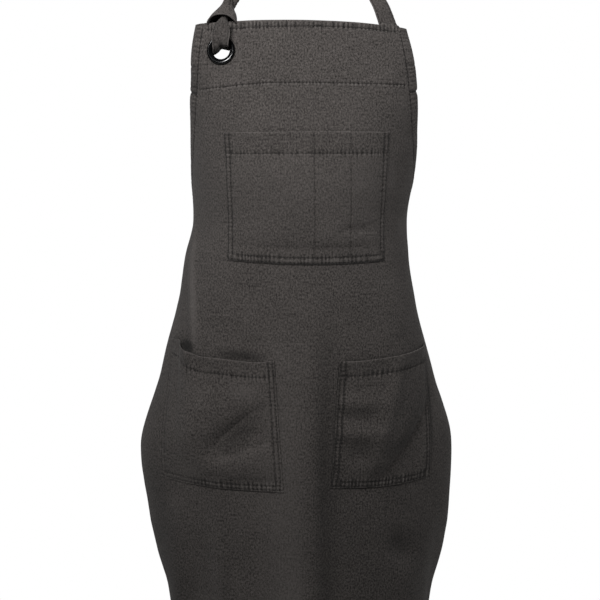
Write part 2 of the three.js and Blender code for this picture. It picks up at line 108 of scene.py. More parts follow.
# Levels of the draped form: drop, half-width left and right, depth before the plan axis, squareness
LEVELS = (
    (0, 150, 144, 92, 3.0),
    (60, 156, 164, 101, 2.9),
    (140, 147, 154, 112, 2.5),
    (200, 143, 144, 116, 2.2),
    (250, 141, 136, 114, 2.08),
    (300, 152, 138.5, 114, 2.08),
    (360, 163, 148.5, 117, 2.08),
    (450, 185, 171, 122, 2.08),
    (545, 211, 196, 124, 2.08),
    (620, 203, 193.5, 122, 2.08),
    (680, 191, 186, 119, 2.08),
    (735, 175, 173, 116, 2.08),
    (850, 160, 160, 110, 2.08),
)

# Soft folds: from u and v, to u and v, spread, rise
FOLDS = (
    (-70, 610, -88, 850, 26, 6),
    (-107, 560, -98, 850, 10, 3.6),
    (-136, 600, -152, 850, 20, -4),
    (-165, 600, -185, 850, 24, 5),
    (-6, 330, -6, 850, 30, 7),
    (31, 360, 31, 850, 10, -4),
    (58, 360, 64, 850, 34, -6),
    (112, 640, 150, 692, 18, -6),
    (128, 600, 146, 850, 26, 5),
    (196, 580, 214, 850, 24, -5),
    (-174, 215, -141, 440, 8, 3.6),
)

# Washed streaks of the cloth, together with painted shade and painted light along its folds, dents and
# flanks, such as a painted shadow beside the strap's tongue: from u and v, to u and v, spread, tone from -1
# dark to 1 pale
STREAKS_AND_PAINTED_SHADING = (
    (30, 320, 30, 850, 17, -0.5),
    (100, 340, 110, 850, 62, -0.29),
    (-22, 320, -27, 850, 34, 0.5),
    (-400, 210, 400, 210, 75, 0.26),
    (-400, 35, 400, 35, 34, -0.05),
    (-400, 680, 400, 680, 190, -0.06),
    (-97, 590, -95, 850, 9, -0.18),
    (-210, 480, -172, 850, 28, -0.36),
    # painted highlight along the ridge at the left waist
    (-168, 240, -139, 425, 5, 1.15),
    (112, 642, 140, 672, 15, -0.3),
    # painted light and shade on the bib's right flank
    (134, 60, 140, 140, 14, 0.35),
    (117, 150, 121, 228, 11, 0.35),
    (141, 243, 164, 276, 9, 0.55),
    (140, 160, 151, 223, 12, -0.15),
    (126, 145, 160, 156, 5, 0.25),
    (133, 373, 143, 401, 14, -0.25),
    (80, 165, 83, 275, 22, 0.2),
    (-8, 560, -10, 850, 12, 0.22),
    # painted shadow beside the strap's tongue
    (-88.8, 3, -88.6, 17, 2.6, -1.5),
    (-190, 408, -150, 428, 9, 0.35),
    (-178, 592, -172, 618, 12, 0.25),
    (186, 430, 177, 560, 6, -0.18),
    (-65, 600, -65, 700, 20, -0.15),
    # painted shade in the left hip pocket's dent, and painted light round it
    (-107, 530, -45, 494, 13, -0.5),
    (-98, 462, -50, 461, 14, 0.3),
    (-170, 462, -112, 458, 14, 0.18),
    (-181, 556, -115, 566, 16, 0.35),
    # painted shade and light on the right hip pocket's ridges and dents
    (50, 486, 92, 487, 8, -0.2),
    (50, 531, 92, 532, 11, -0.28),
    (50, 552, 100, 552, 8, 0.3),
    (90, 550, 110, 546, 8, 0.45),
    (166, 498, 112, 542, 10, -0.36),
    (157, 446, 131, 512, 26, -0.28),
)

# The same for the panel alone: painted shade behind the mouths of its pockets, where they gape
PAINTED_SHADE_BEHIND_MOUTHS = (
    (-116, 413.5, -40, 420, 5.5, -0.85),
    (-168, 401, -142, 412, 5, -1.3),
)

# Unevenness of hanging cloth: size of the waves, height, seed of the noise
UNEVENNESS = ((70, 1.1, 3), (34, 0.5, 4), (15, 0.16, 5))

# Seeds of the ripples: first and step for the hems and for the pockets, and one for each other seam
HEM_SEEDS = (20, 3)
POCKET_SEEDS = (200, 60)
FACING_FRONT_SEED = 88
FACING_BACK_SEED = 90
STRAP_SEED = 70

# Sewing that the hip pockets share
HIP_SEWING = {
    "dividers": (),
    "rows": (3.4, 8.9),
    "base_rows": (3.0, 8.2),
    "ladder": 1.1,
    "edge_shade": 0.9,
}

# Patch pockets on the flat cut, each by these values:
#   mouth, base: u and v of the left and right ends
#   mouth_line: share across, drop below the straight mouth, slack off the panel
#   mouth_hem: depth of the mouth's hem
#   hem_fold: how dark the fold above the hem's stitches is
#   base_bow, side_bow: how far the base bows down and the right side bows in
#   belly: slack of the middle
#   dividers: shares across of the rows that divide it
#   rows, base_rows: distances of the stitches from the sides and from the base
#   ladder: strength of the ripples along the base
#   edge_shade, base_shade: how dark the painted shade along the very edge is at the sides and the base, and
#       at the base alone
#   faint: share by which its sewing fades out towards the left
#   dents: from u and v, to u and v, spread, depth
POCKETS = (
    {
        "name": "chest_pocket",
        "mouth": ((-100.5, 139.5), (114, 138)),
        "base": ((-97.5, 299.3), (114.5, 300.8)),
        "mouth_line": ((0, 0, 0), (0.35, 0, 2), (1, 0, 0)),
        "mouth_hem": 26.3,
        "hem_fold": 0.4,
        "base_bow": 4,
        "belly": 3.4,
        "dividers": (0.537, 0.75),
        "rows": (2.2, 8.2),
        "base_rows": (1.8, 9.0),
        "ladder": 0.75,
        "edge_shade": 0,
        "base_shade": 0.9,
        "side_bow": 0,
        "faint": 0,
        "dents": ((50, 262, 112, 256, 7, 1.8), (-80, 286, 90, 288, 9, 2.2)),
    },
    {
        "name": "hip_pocket_left",
        "mouth": ((-196, 399), (-33.7, 422.6)),
        "base": ((-194, 577), (-22, 586.5)),
        "mouth_line": (
            (0, 0, 0),
            (0.1, -1, 2.5),
            (0.18, -1, 5),
            (0.24, 4.5, 10.5),
            (0.32, 9, 13),
            (0.42, 10.9, 11),
            (0.55, 9.1, 8),
            (0.73, 7.4, 4.5),
            (0.9, 4.4, 2),
            (0.96, 1, 0.5),
            (1, 0, 0),
        ),
        "mouth_hem": 20,
        "hem_fold": 0,
        "base_bow": 3,
        "belly": 8,
        **HIP_SEWING,
        "base_shade": 0.5,
        "side_bow": 0,
        "faint": 0.85,
        "dents": (
            (-112, 538, -42, 498, 19, 15),
            (-150, 530, -112, 466, 15, -2),
            (-120, 571, -30, 577, 8, 1.5),
        ),
    },
    {
        "name": "hip_pocket_right",
        "mouth": ((46, 424), (196, 408.5)),
        "base": ((36, 583.5), (175, 575)),
        "mouth_line": ((0, 0, 0), (0.25, 2.4, 7), (0.5, 3.2, 11), (0.8, 2, 7), (1, 0, 0)),
        "mouth_hem": 19,
        "hem_fold": 0.3,
        "base_bow": 4,
        "belly": 7,
        **HIP_SEWING,
        "base_shade": 0,
        "side_bow": 7,
        "faint": 0,
        "dents": (
            (174, 498, 110, 572, 17, 9),
            (124, 428, 92, 556, 12, -5),
            (36, 476, 100, 478, 11, -3.6),
            (32, 513, 98, 515, 12, -4.4),
        ),
    },
)

# Eyelet in the bib's left corner
EYELET_U = -101.8
EYELET_V = 36.5
EYELET_BORE = 11
EYELET_BARREL = 12
EYELET_FLANGE = 18
EYELET_DOME = 2.6
EYELET_SEAT = 0.3
EYELET_CREST = 0.7  # share from the bore to the flange's rim where the dome is highest
EYELET_PAST = 3  # how far the barrel stands out behind the cloth
EYELET_HOLE = EYELET_BARREL + 0.5  # radius of the hole in the cloth
FLAT_SPOT = 20  # radius of the cloth that the metal holds flat
FLAT_FADE = 44
EYELET_LOOK = (-0.14, -0.98, 0.12)  # the metal holds the cloth a little more to the front

# Neck strap: sewn end, way round the neck as place and facing, and loop through the eyelet
STRAP_SEWN = ((125, 26), (119.5, 13), (113.5, 0.5))  # u and v up its sewn end
SEWN_CURL = -8  # curl of that end in degrees
STRAP_RISE = ((99, 102), (125, 128), 2.2)  # where the top hem climbs over it and back, and how far
NECK_ROUTE = (
    ((98.4, -145, -131), (0.5, -0.78, 0.25)),
    ((88, -137, -111), (0.57, -0.7, 0.35)),
    ((81, -108, -66), (0.6, -0.6, 0.5)),
    ((68, -66, -24), (0.85, -0.1, 0.4)),
    ((45, -20, -5), (0.65, 0.72, 0.15)),
)
# u, v, height off the cloth, side that its face looks to, width, curl and lean in degrees
EYELET_ROUTE = (
    (-92.5, -29, -3, "front", 19, -130, 0),
    (-97, -8, -6, "front", 21, -60, 0),
    (-99, 8, -7.5, "front", 24, -10, 0),
    (-101, 22, -9.5, "front", 23, -20, 0),
    (-101.9, 32, -7.5, "front", 20, -12, 0),
    (-103, 35.6, -2.5, "up", 21, -4, -31),
    (-102.4, 33.4, 3.5, "up", 20.5, -4, -22),
    (-100.8, 28.5, 8, "back", 21, -25, 0),
    (-100.6, 20, 9.2, "back", 23.5, -10, 0),
    (-100.2, 12, 8.4, "back", 22, 20, 0),
    (-99, 3, 6.8, "back", 19, 45, 0),
    (-97.6, -4, 4.8, "back", 14, 90, 0),
    (-96.5, -11, 3.0, "back", 11, 110, 0),
)
HOLE_ROW = 5  # the row of that table in the middle of the hole
KNOT_TAIL = (
    (-96, -4, -9, "front", 14, -130),
    (-92, -16, -8, "front", 14, -130),
    (-88.4, -22, -7.5, "front", 14, -130),
    (-85.2, -27.6, -7.5, "front", 16, -130),
    (-79.8, -37, -9, "front", 21, -95),
    (-72, -49, -13, "front", 25, -40),
    (-65, -60, -16, "front", 25, -15),
)
# Knot above the eyelet: v, centre u, half-width, centre off the cloth, half-depth
KNOT_ROWS = (
    (-27, -93.5, 5.2, -5.5, 8.2),
    (-23.6, -94.3, 5.6, -5.3, 8.6),
    (-20, -95.5, 7.0, -5.0, 9.2),
    (-16.5, -96.6, 9.5, -4.4, 10.0),
    (-13, -98.0, 12.1, -3.6, 10.8),
    (-9.3, -99.0, 15.0, -2.8, 11.5),
    (-5, -99.9, 17.3, -2.2, 12.0),
    (4, -101, 19.4, -1.5, 12.6),
    (9, -101.4, 20.4, -1.4, 12.7),
)
KNOT_ARCH = 12
KNOT_SKIRT = 4
KNOT_SQUARENESS = 2.6
KNOT_FOOT = 4  # drop of its lower edge at the sides
KNOT_PLEATS = ((0.55, 7, 0.8, 2.2), (0.4, 11, 0, -1.1))  # height, number, start, twist

# Waist ties and their knot at the back
TIE_DROP = ARMHOLE_DEPTH
TIE_OVERLAP = 22
TIE_OFF = -3.6  # the ties pass behind the side hems
TIE_TUCK = 4  # how far they go into the knot
TIE_KNOT = (17, 9, 15)  # half-width, half-depth, half-height
TIE_KNOT_MESH = (60, 96, 0.03)  # rings, sides, angle of the first ring from the pole
TIE_KNOT_FLAT = (13, 15)  # flat size of a radian round it and down it
TIE_KNOT_TONE = 0.2
TIE_TAIL_LENGTH = 230
TIE_TAIL_SPLAY = 34
TIE_TAIL_SWAY = 7
TIE_TAIL_WIDTH = 24
TIE_TAIL_CURL = 35  # curl in degrees where it leaves the knot

# Camera of the picture: eye, what it looks at, lens
EYE = (-2.56, -2413.97, -335.6)
LOOK_AT = (-2.56, -120, -502)
LENS = 107.8


# Numbers that repeat the same way each run


def smooth_step(x, low, high):
    t = np.clip((x - low) / (high - low), 0, 1)
    return t * t * (3 - 2 * t)


def soft_noise(x, y, cell, seed):
    """Smooth noise from -1 to 1 on a lattice of that cell size."""
    size = 64
    lattice = np.random.default_rng(seed).uniform(-1, 1, (size, size))
    gx, gy = np.asarray(x) / cell, np.asarray(y) / cell
    i, j = np.floor(gx).astype(int), np.floor(gy).astype(int)
    fx, fy = smooth_step(gx - i, 0, 1), smooth_step(gy - j, 0, 1)
    i0, i1, j0, j1 = i % size, (i + 1) % size, j % size, (j + 1) % size
    upper = lattice[j0, i0] * (1 - fx) + lattice[j0, i1] * fx
    lower = lattice[j1, i0] * (1 - fx) + lattice[j1, i1] * fx
    return upper * (1 - fy) + lower * fy


def puckers(along, pitch, seed):
    """Uneven ripples of cloth drawn up along a seam, from about -1 to 1."""
    along = np.asarray(along, float)
    drift = 0.75 * soft_noise(along, 0 * along, 4 * pitch, seed)
    strength = np.clip(0.7 + 0.5 * soft_noise(along, 0 * along, 2.2 * pitch, seed + 1), 0.25, 1.15)
    lumps = 0.45 * soft_noise(along, 0 * along, 0.8 * pitch, seed + 2)
    return strength * np.sin(2 * np.pi * (along / pitch + drift)) + lumps


def bump_at(distance, width):
    return np.exp(-((distance / width) ** 2))


def soft_line(distance, strength, width):
    return strength * bump_at(distance, width)


def through(rows, column, at):
    """Smooth curve through one column of a table, with no overshoot between its rows."""
    xs = np.array([row[0] for row in rows], float)
    ys = np.array([row[column] for row in rows], float)
    span, slope = np.diff(xs), np.diff(ys) / np.diff(xs)
    tangent = np.zeros_like(ys)
    tangent[0], tangent[-1] = slope[0], slope[-1]
    for k in range(1, len(xs) - 1):
        before, after = slope[k - 1], slope[k]
        if before * after > 0:
            nearer, further = 2 * span[k] + span[k - 1], span[k] + 2 * span[k - 1]
            tangent[k] = (nearer + further) / (nearer / before + further / after)
    at = np.clip(np.asarray(at, float), xs[0], xs[-1])
    i = np.clip(np.searchsorted(xs, at) - 1, 0, len(span) - 1)
    t = (at - xs[i]) / span[i]
    b = 1 - t
    return (
        (1 + 2 * t) * b * b * ys[i]
        + t * b * b * span[i] * tangent[i]
        + t * t * (3 - 2 * t) * ys[i + 1]
        - t * t * b * span[i] * tangent[i + 1]
    )


def run_along(points):
    """Distance along a line of points, at each of them."""
    return np.concatenate([[0], np.cumsum(np.linalg.norm(np.diff(points, axis=0), axis=1))])


def sample(run, values, at):
    """Values that are given along a run, at other places of it."""
    return np.stack([np.interp(at, run, column) for column in values.T], axis=-1)


def unit(vectors):
    return vectors / np.linalg.norm(vectors, axis=-1, keepdims=True)


def lifted(points, normals, height):
    return points + normals * np.asarray(height, float)[..., None]


# The draped form

ARC_REACH = 520
FORM_TOP = -64
FORM_STEP = 2
FORM_TURNS = 721


def form_table():
    """Plan x and y of the smooth form by drop and by arc length from the middle."""
    drops = np.arange(FORM_TOP, APRON_LENGTH + 4 * FORM_STEP, FORM_STEP)
    arcs = np.arange(ARC_REACH + 1)
    turn = np.linspace(0, np.pi, FORM_TURNS)
    depths, powers = through(LEVELS, 3, drops), 2 / through(LEVELS, 4, drops)
    halves = []
    for side, column in ((-1, 1), (1, 2)):
        widths = through(LEVELS, column, drops)
        half = np.empty((len(drops), len(arcs), 2))
        for k, (width, depth, power) in enumerate(zip(widths, depths, powers)):
            x = width * np.abs(np.sin(turn)) ** power
            y = depth * np.sign(np.cos(turn)) * np.abs(np.cos(turn)) ** power
            run = np.concatenate([[0], np.cumsum(np.hypot(np.diff(x), np.diff(y)))])
            half[k, :, 0] = side * np.interp(arcs, run, x)
            half[k, :, 1] = PLAN_AXIS_Y - np.interp(arcs, run, y)
        halves.append(half)
    return np.concatenate([halves[0][:, :0:-1], halves[1]], axis=1)


FORM = form_table()


def form_points(u, v):
    """Points of the smooth form at arc length u from the middle and drop v."""
    x = np.clip(u + ARC_REACH, 0, FORM.shape[1] - 1.001)
    y = np.clip((v - FORM_TOP) / FORM_STEP, 0, FORM.shape[0] - 1.001)
    i, j = x.astype(int), y.astype(int)
    fx, fy = (x - i)[..., None], (y - j)[..., None]
    upper = FORM[j, i] * (1 - fx) + FORM[j, i + 1] * fx
    lower = FORM[j + 1, i] * (1 - fx) + FORM[j + 1, i + 1] * fx
    plan = upper * (1 - fy) + lower * fy
    droop = CORNER_DROOP * (u / BIB_HALF_WIDTH) ** 2 + TOP_TILT * u / BIB_HALF_WIDTH
    droop = droop * np.exp(-np.maximum(v, 0) / DROOP_FADE)
    droop = np.where(np.abs(u) <= SKIRT_HALF_WIDTH, droop, 0)
    return np.concatenate([plan, (BIB_TOP_Z - v - droop)[..., None]], axis=-1)


PROBE = 2


def normals_of(surface, u, v):
    across = surface(u + PROBE, v) - surface(u - PROBE, v)
    down = surface(u, v + PROBE) - surface(u, v - PROBE)
    return unit(np.cross(down, across))


# Shares of a soft line's length over which it fades in and out
LINE_START = (-0.1, 0.5)
LINE_END = (0.6, 1.1)


def beside_line(u, v, from_u, from_v, to_u, to_v):
    """Share along a line on the flat cut, and distance aside of it."""
    du, dv = to_u - from_u, to_v - from_v
    length = math.hypot(du, dv)
    along = ((u - from_u) * du + (v - from_v) * dv) / length**2
    aside = ((u - from_u) * dv - (v - from_v) * du) / length
    return along, aside


def lines_on_cloth(lines, u, v):
    """Sum of soft lines on the flat cut, each fading in and, above the hem, fading out."""
    total = np.zeros_like(u)
    for *line, width, height in lines:
        along, aside = beside_line(u, v, *line)
        fade = smooth_step(along, *LINE_START)
        if line[-1] < APRON_LENGTH:
            fade = fade * (1 - smooth_step(along, *LINE_END))
        total += height * fade * bump_at(aside, width)
    return total


def fold_rise(u, v):
    rise = lines_on_cloth(FOLDS, u, v)
    for cell, height, seed in UNEVENNESS:
        rise += height * soft_noise(u, v, cell, seed)
    return rise


def at_point(u, v):
    return np.array([float(u)]), np.array([float(v)])


EYELET_CENTRE = form_points(*at_point(EYELET_U, EYELET_V))[0]
EYELET_NORMAL = unit(np.array(EYELET_LOOK))


def drape(u, v):
    """Points of the panel's face, with its folds and the flat spot that the eyelet holds."""
    points = lifted(form_points(u, v), normals_of(form_points, u, v), fold_rise(u, v))
    away = np.hypot(u - EYELET_U, v - EYELET_V)
    hold = 1 - smooth_step(away, FLAT_SPOT, FLAT_SPOT + FLAT_FADE)
    height = (points - EYELET_CENTRE) @ EYELET_NORMAL
    return points - (height * hold)[..., None] * EYELET_NORMAL


def cloth_at(u, v):
    """Points of the panel's face and the way each looks."""
    u, v = np.broadcast_arrays(np.asarray(u, float), np.asarray(v, float))
    return drape(u, v), normals_of(drape, u, v)


def on_cloth(u, v, off):
    return lifted(*cloth_at(u, v), off)


def sweep_half_width(v):
    """Half-width of the cut's sweep from bib to skirt."""

    def sweep(share):
        return 1 - np.sqrt(1 - (share * ARMHOLE_SWEEP) ** 2)

    share = np.clip(np.asarray(v, float) / ARMHOLE_DEPTH, 0, 1)
    return BIB_HALF_WIDTH + (SKIRT_HALF_WIDTH - BIB_HALF_WIDTH) * sweep(share) / sweep(1)


def facing_row(u):
    """Drop of the stitches that hold the facing."""
    return FACING_DEPTH + ROW_DROOP * smooth_step(-np.asarray(u, float), *ROW_DROOP_ENDS)


def top_row(u):
    """Drop of the top hem's stitches."""
    return TOP_HEM * (1 + TOP_HEM_SPREAD * smooth_step(-np.asarray(u, float), *TOP_SPREAD_ENDS))


def cut_half_width(v):
    """Half-width of the cut, with its top corners drawn in."""
    return sweep_half_width(v) - BIB_TAPER * np.exp(-np.maximum(v, 0) / TAPER_FADE)


# Meshes


def grid_quads(index):
    corners = index[:-1, :-1], index[1:, :-1], index[1:, 1:], index[:-1, 1:]
    return np.stack(corners, axis=-1).reshape(-1, 4)


def shell(front, back):
    """Points and faces of a closed wall between two skins of points, by row and column."""
    rows, columns = front.shape[:2]
    count = rows * columns
    index = np.arange(count).reshape(rows, columns)
    border = np.concatenate([index[0, :-1], index[:-1, -1], index[-1, :0:-1], index[:0:-1, 0]])
    after = np.roll(border, -1)
    rim = np.stack([border, after, after + count, border + count], axis=-1)
    quads = np.concatenate([grid_quads(index), grid_quads(index + count)[:, ::-1], rim])
    return np.concatenate([front.reshape(-1, 3), back.reshape(-1, 3)]), quads


def tube(rings):
    """Points and faces of a skin through closed rings of points, with a cap at each end."""
    count, sides = rings.shape[:2]
    index = np.arange(count * sides).reshape(count, sides)
    quads = [grid_quads(np.concatenate([index, index[:, :1]], axis=1))]
    half = sides // 2
    for ring, turn in ((index[0], 1), (index[-1], -1)):
        near, far = ring[:half], ring[half:][::-1]
        cap = np.stack([near[:-1], near[1:], far[1:], far[:-1]], axis=-1)
        quads.append(cap[:, ::turn])
    return rings.reshape(-1, 3), np.concatenate(quads)


def facing_out(points, quads):
    a, b, c, d = (points[quads[:, k]] for k in range(4))
    volume = np.einsum("ij,ij->", a, np.cross(b, c)) + np.einsum("ij,ij->", a, np.cross(c, d))
    return quads if volume > 0 else quads[:, ::-1]


def add_piece(name, parts, material, node):
    """One piece from closed parts, each as points, faces, flat places and wear with painted shading, from -1
    to 1.
    """
    points, quads, flats, wears_and_shades = [], [], [], []
    start = 0
    for part_points, part_quads, flat, wear_and_shade in parts:
        points.append(part_points)
        quads.append(facing_out(part_points, part_quads) + start)
        flats.append(np.broadcast_to(flat, (len(part_points), 2)))
        wears_and_shades.append(np.broadcast_to(wear_and_shade, len(part_points)))
        start += len(part_points)
    points, quads = np.concatenate(points), np.concatenate(quads)
    mesh = bpy.data.meshes.new(name)
    mesh.from_pydata((points * MM).tolist(), [], quads.tolist())
    layer = mesh.uv_layers.new(name="Flat")
    layer.data.foreach_set("uv", (np.concatenate(flats)[quads] * MM).ravel())
    wear_and_shade = mesh.attributes.new("Wear and shade", "FLOAT", "POINT")
    wear_and_shade.data.foreach_set("value", np.concatenate(wears_and_shades).astype(np.float32))
    mesh.shade_smooth()
    mesh.materials.append(material)
    piece = bpy.data.objects.new(name, mesh)
    bpy.context.scene.collection.objects.link(piece)
    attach(piece, BODY)
    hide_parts(node)
    return piece


def cloth_part(front, back, u, v, front_wear_and_shade, back_wear_and_shade):
    """A closed wall of cloth between two skins, with their flat places and their wear with painted shading.
    """
    skin, quads = shell(front, back)
    flat = np.stack([u, v], axis=-1).reshape(-1, 2)
    return skin, quads, np.concatenate([flat, flat]), np.concatenate([front_wear_and_shade.ravel(), back_wear_and_shade.ravel()])


THINNEST = 0.06  # share of the thickness that is left at an edge


def rounded(distance, radius):
    """Share of the full thickness at a distance from a rounded edge."""
    inward = 1 - np.clip(distance / radius, 0, 1)
    return np.maximum(np.sqrt(1 - inward**2), THINNEST)


BESIDE_LINE = (-4, -2.6, -1.6, -0.8, 0, 0.8, 1.6, 2.6, 4)
CLEAR_OF_LINE = 4.5


def graded(low, high, step, lines=()):
    """Places from low to high, a step apart and closer together beside each line."""
    even = np.linspace(low, high, max(2, round((high - low) / step) + 1))
    clear = [p for p in even if all(abs(p - line) > CLEAR_OF_LINE for line in lines)]
    beside = [line + b for line in lines for b in BESIDE_LINE]
    return np.unique(np.round(np.clip(clear + beside + [low, high], low, high), 3))


# Stitches

# Rings of one stitch: share along it, share of its thickness, lift as a share of its radius
STITCH_RINGS = (
    (-0.5, 0.4, -1.0),
    (-0.36, 0.9, 0.0),
    (0.0, 1.0, 0.35),
    (0.36, 0.9, 0.0),
    (0.5, 0.4, -1.0),
)
STITCH_SIDES = 6
STITCH_FLATNESS = 0.8
STITCH_SINK = 0.3  # depth of a row in its groove


def stitch_parts(rows, making):
    """Stitches of thread along rows of points, each row with the way its cloth looks."""
    pitch, length, radius = making.stitch_pitch / MM, making.stitch_length / MM, making.thread_radius / MM
    turn = np.arange(STITCH_SIDES) * 2 * np.pi / STITCH_SIDES
    one_flat = np.stack(np.meshgrid(turn, [ring[0] * length for ring in STITCH_RINGS]), axis=-1)
    parts = []
    for points, normals in rows:
        run = run_along(points)
        count = max(1, int(run[-1] / pitch))
        middle = (np.arange(count) + 0.5) * run[-1] / count
        along = sample(run, points, middle + length / 2) - sample(run, points, middle - length / 2)
        along /= np.maximum(np.linalg.norm(along, axis=1, keepdims=True), 1e-9)
        up = sample(run, normals, middle)
        aside = np.cross(along, up)
        centre = sample(run, points, middle)
        rings = []
        for x, thick, lift in STITCH_RINGS:
            y = radius * thick * np.cos(turn)
            z = radius * (STITCH_FLATNESS * thick * np.sin(turn) + lift)
            rings.append(
                centre[:, None]
                + along[:, None] * (x * length)
                + aside[:, None] * y[None, :, None]
                + up[:, None] * z[None, :, None]
            )
        stitches = np.stack(rings, axis=1)
        one_points, one_quads = tube(stitches[0])
        quads = one_quads[None] + len(one_points) * np.arange(count)[:, None, None]
        flat = np.tile(one_flat.reshape(-1, 2), (count, 1))
        parts.append((stitches.reshape(-1, 3), quads.reshape(-1, 4), flat, 0.0))
    return parts


# The panel and its hems


def armhole_edge(drops):
    """Flat points of the right armhole and the way into the cloth at each."""
    slope = np.gradient(sweep_half_width(drops), drops)
    inward = unit(np.stack([-np.ones_like(drops), slope], axis=-1))
    return np.stack([cut_half_width(drops), drops], axis=-1), inward


def hem_line(v):
    """Half-width of the line that lies a hem's depth inside the cut's edge."""
    edge, inward = armhole_edge(np.linspace(0, ARMHOLE_DEPTH, 700))
    line = edge + inward * SIDE_HEM
    line = line[np.argsort(line[:, 1])]
    inside = np.interp(v, line[:, 1], line[:, 0], right=SKIRT_HALF_WIDTH)
    return np.minimum(inside, SKIRT_HALF_WIDTH - SIDE_HEM)


PANEL_STEP = 4
PANEL_COLUMNS = 143
FACING_LINES = 4.5  # distance of the finer mesh above and below the facing's row
TOP_ROW_PULL = 16  # how far from the top hem's row and the facing's row the mesh follows their slant
FACING_ROW_PULL = 30
# Places inside a side hem's stitches where the panel passes under the hem's strip
TUCK = np.array((-0.5, 1.5, 3.0, 4.2, 5.2, 6.2))
TUCK_DEPTH = 1.1
TUCK_ENDS = (3.2, 5.6)
GROOVE_WIDTH = 1.1
UNFADED_AND_SHADED = 0.85  # how dark the panel is behind its pockets: unfaded cloth, and painted shade where the mouths gape
# Where that fades: shares across from a pocket's sides, and drops from its mouth and from its base
UNFADED_AND_SHADED_SIDES = (0, 0.06)
UNFADED_AND_SHADED_MOUTH = (-4, 6)
UNFADED_AND_SHADED_BASE = (-12, -6)


def tucked(inside):
    return -TUCK_DEPTH * (1 - smooth_step(inside, *TUCK_ENDS))


def groove(distance, making):
    return -(making.groove_depth / MM) * bump_at(distance, GROOVE_WIDTH)


def ripples(along, making, seed):
    return puckers(along, making.pucker_pitch / MM, seed)


def with_eyelet_hole(part):
    """The part without its faces inside the eyelet, and with a wall round that hole."""
    points, quads, flat, wear_and_shade = part
    count = len(points) // 2
    away = np.hypot(flat[:, 0] - EYELET_U, flat[:, 1] - EYELET_V)
    inside = away < EYELET_HOLE
    kept = quads[~inside[quads].any(axis=1)]
    edges = np.concatenate([kept[:, [k, (k + 1) % 4]] for k in range(4)])
    edges = edges[(away[edges] < EYELET_FLANGE).all(axis=1)]
    pairs = {tuple(edge) for edge in edges.tolist()}
    rim = np.array([edge for edge in pairs if edge[::-1] not in pairs and max(edge) < count])
    wall = np.stack([rim[:, 1], rim[:, 0], rim[:, 0] + count, rim[:, 1] + count], axis=-1)
    return points, np.concatenate([kept, wall]), flat, wear_and_shade


def pocket_corners(pocket):
    """Left and right ends of a pocket's mouth, then of its base."""
    return (*np.array(pocket["mouth"]), *np.array(pocket["base"]))


def under_pocket(pocket, u, v):
    """Share of unfaded cloth and painted shade: full below a pocket's mouth, fading out just above it."""
    left, right, base_left, base_right = pocket_corners(pocket)
    r = np.clip((v - left[1]) / (base_left[1] - left[1]), 0, 1)
    from_left = left[0] + (base_left[0] - left[0]) * r
    from_right = right[0] + (base_right[0] - right[0]) * r
    s = (u - from_left) / (from_right - from_left)
    inside = smooth_step(s, *UNFADED_AND_SHADED_SIDES) * smooth_step(1 - s, *UNFADED_AND_SHADED_SIDES)
    mouth = left[1] + (right[1] - left[1]) * s + through(pocket["mouth_line"], 1, s)
    base = base_left[1] + (base_right[1] - base_left[1]) * s
    return inside * smooth_step(v - mouth, *UNFADED_AND_SHADED_MOUTH) * (1 - smooth_step(v - base, *UNFADED_AND_SHADED_BASE))


def panel_part():
    """The open cloth of the panel, from hem to hem."""
    top, bottom = TOP_HEM, APRON_LENGTH - BOTTOM_HEM
    top_scale, bottom_scale = TOP_HEM / SIDE_HEM, BOTTOM_HEM / SIDE_HEM
    low, high = top + TUCK[-1] * top_scale, bottom - TUCK[-1] * bottom_scale
    middle = graded(low, high, PANEL_STEP, (FACING_DEPTH - FACING_LINES, FACING_DEPTH + FACING_LINES))
    v = np.concatenate([top + TUCK[:-1] * top_scale, middle, (bottom - TUCK[:-1] * bottom_scale)[::-1]])
    line = hem_line(v)[:, None]
    border = line - TUCK[None, :-1]
    open_cloth = (line - TUCK[-1]) * np.linspace(-1, 1, PANEL_COLUMNS)[None]
    u = np.concatenate([-border, open_cloth, border[:, ::-1]], axis=1)
    v = np.repeat(v[:, None], u.shape[1], axis=1)
    hem_shift = (top_row(u) - top) * bump_at(v - top, TOP_ROW_PULL)
    facing_shift = (facing_row(u) - FACING_DEPTH) * bump_at(v - FACING_DEPTH, FACING_ROW_PULL)
    v = v + hem_shift + facing_shift
    from_top, from_bottom = (v - top_row(u)) / top_scale, (bottom - v) / bottom_scale
    beside_rows = (line - np.abs(u), from_top, from_bottom, np.abs(v - facing_row(u)))
    relief = np.minimum.reduce([tucked(inside) for inside in beside_rows])
    points, normals = cloth_at(u, v)
    front = lifted(points, normals, relief)
    # Painted shade behind the pockets and just above their mouths, with unfaded cloth under them
    unfaded_and_shaded = np.maximum.reduce([under_pocket(pocket, u, v) for pocket in POCKETS])
    wear_and_shade = np.clip(lines_on_cloth(STREAKS_AND_PAINTED_SHADING + PAINTED_SHADE_BEHIND_MOUTHS, u, v) - UNFADED_AND_SHADED * unfaded_and_shaded, -1, 1)
    return with_eyelet_hole(cloth_part(front, front - normals * CLOTH, u, v, wear_and_shade, 0 * wear_and_shade))


# Places of a side hem's mesh from its edge, and of a row's strip aside of its stitches
HEM_PLACES = np.array(
    (0, 0.25, 0.6, 1.1, 1.8, 2.8, 4.0, 5.4, 6.8, 8.2, 9.6, 10.8)
    + (12, 13, 13.8, 14.4, 15, 15.6, 16.2, 17, 18, 19.2, 20.4, 21.4)
)
ROW_ASIDE = np.array((0.35, 0.8, 1.4, 2.2, 3.2, 4.2, 5.4, 6.4))
ROW_PLACES = np.concatenate([-ROW_ASIDE[::-1], [0], ROW_ASIDE])
STRIP_CLOTH = 0.8  # thickness of a strip past its stitches
STRIP_SINK = 0.6  # how far a strip's far edge dips into the panel
STRIP_ENDS = (4.0, 6.4)

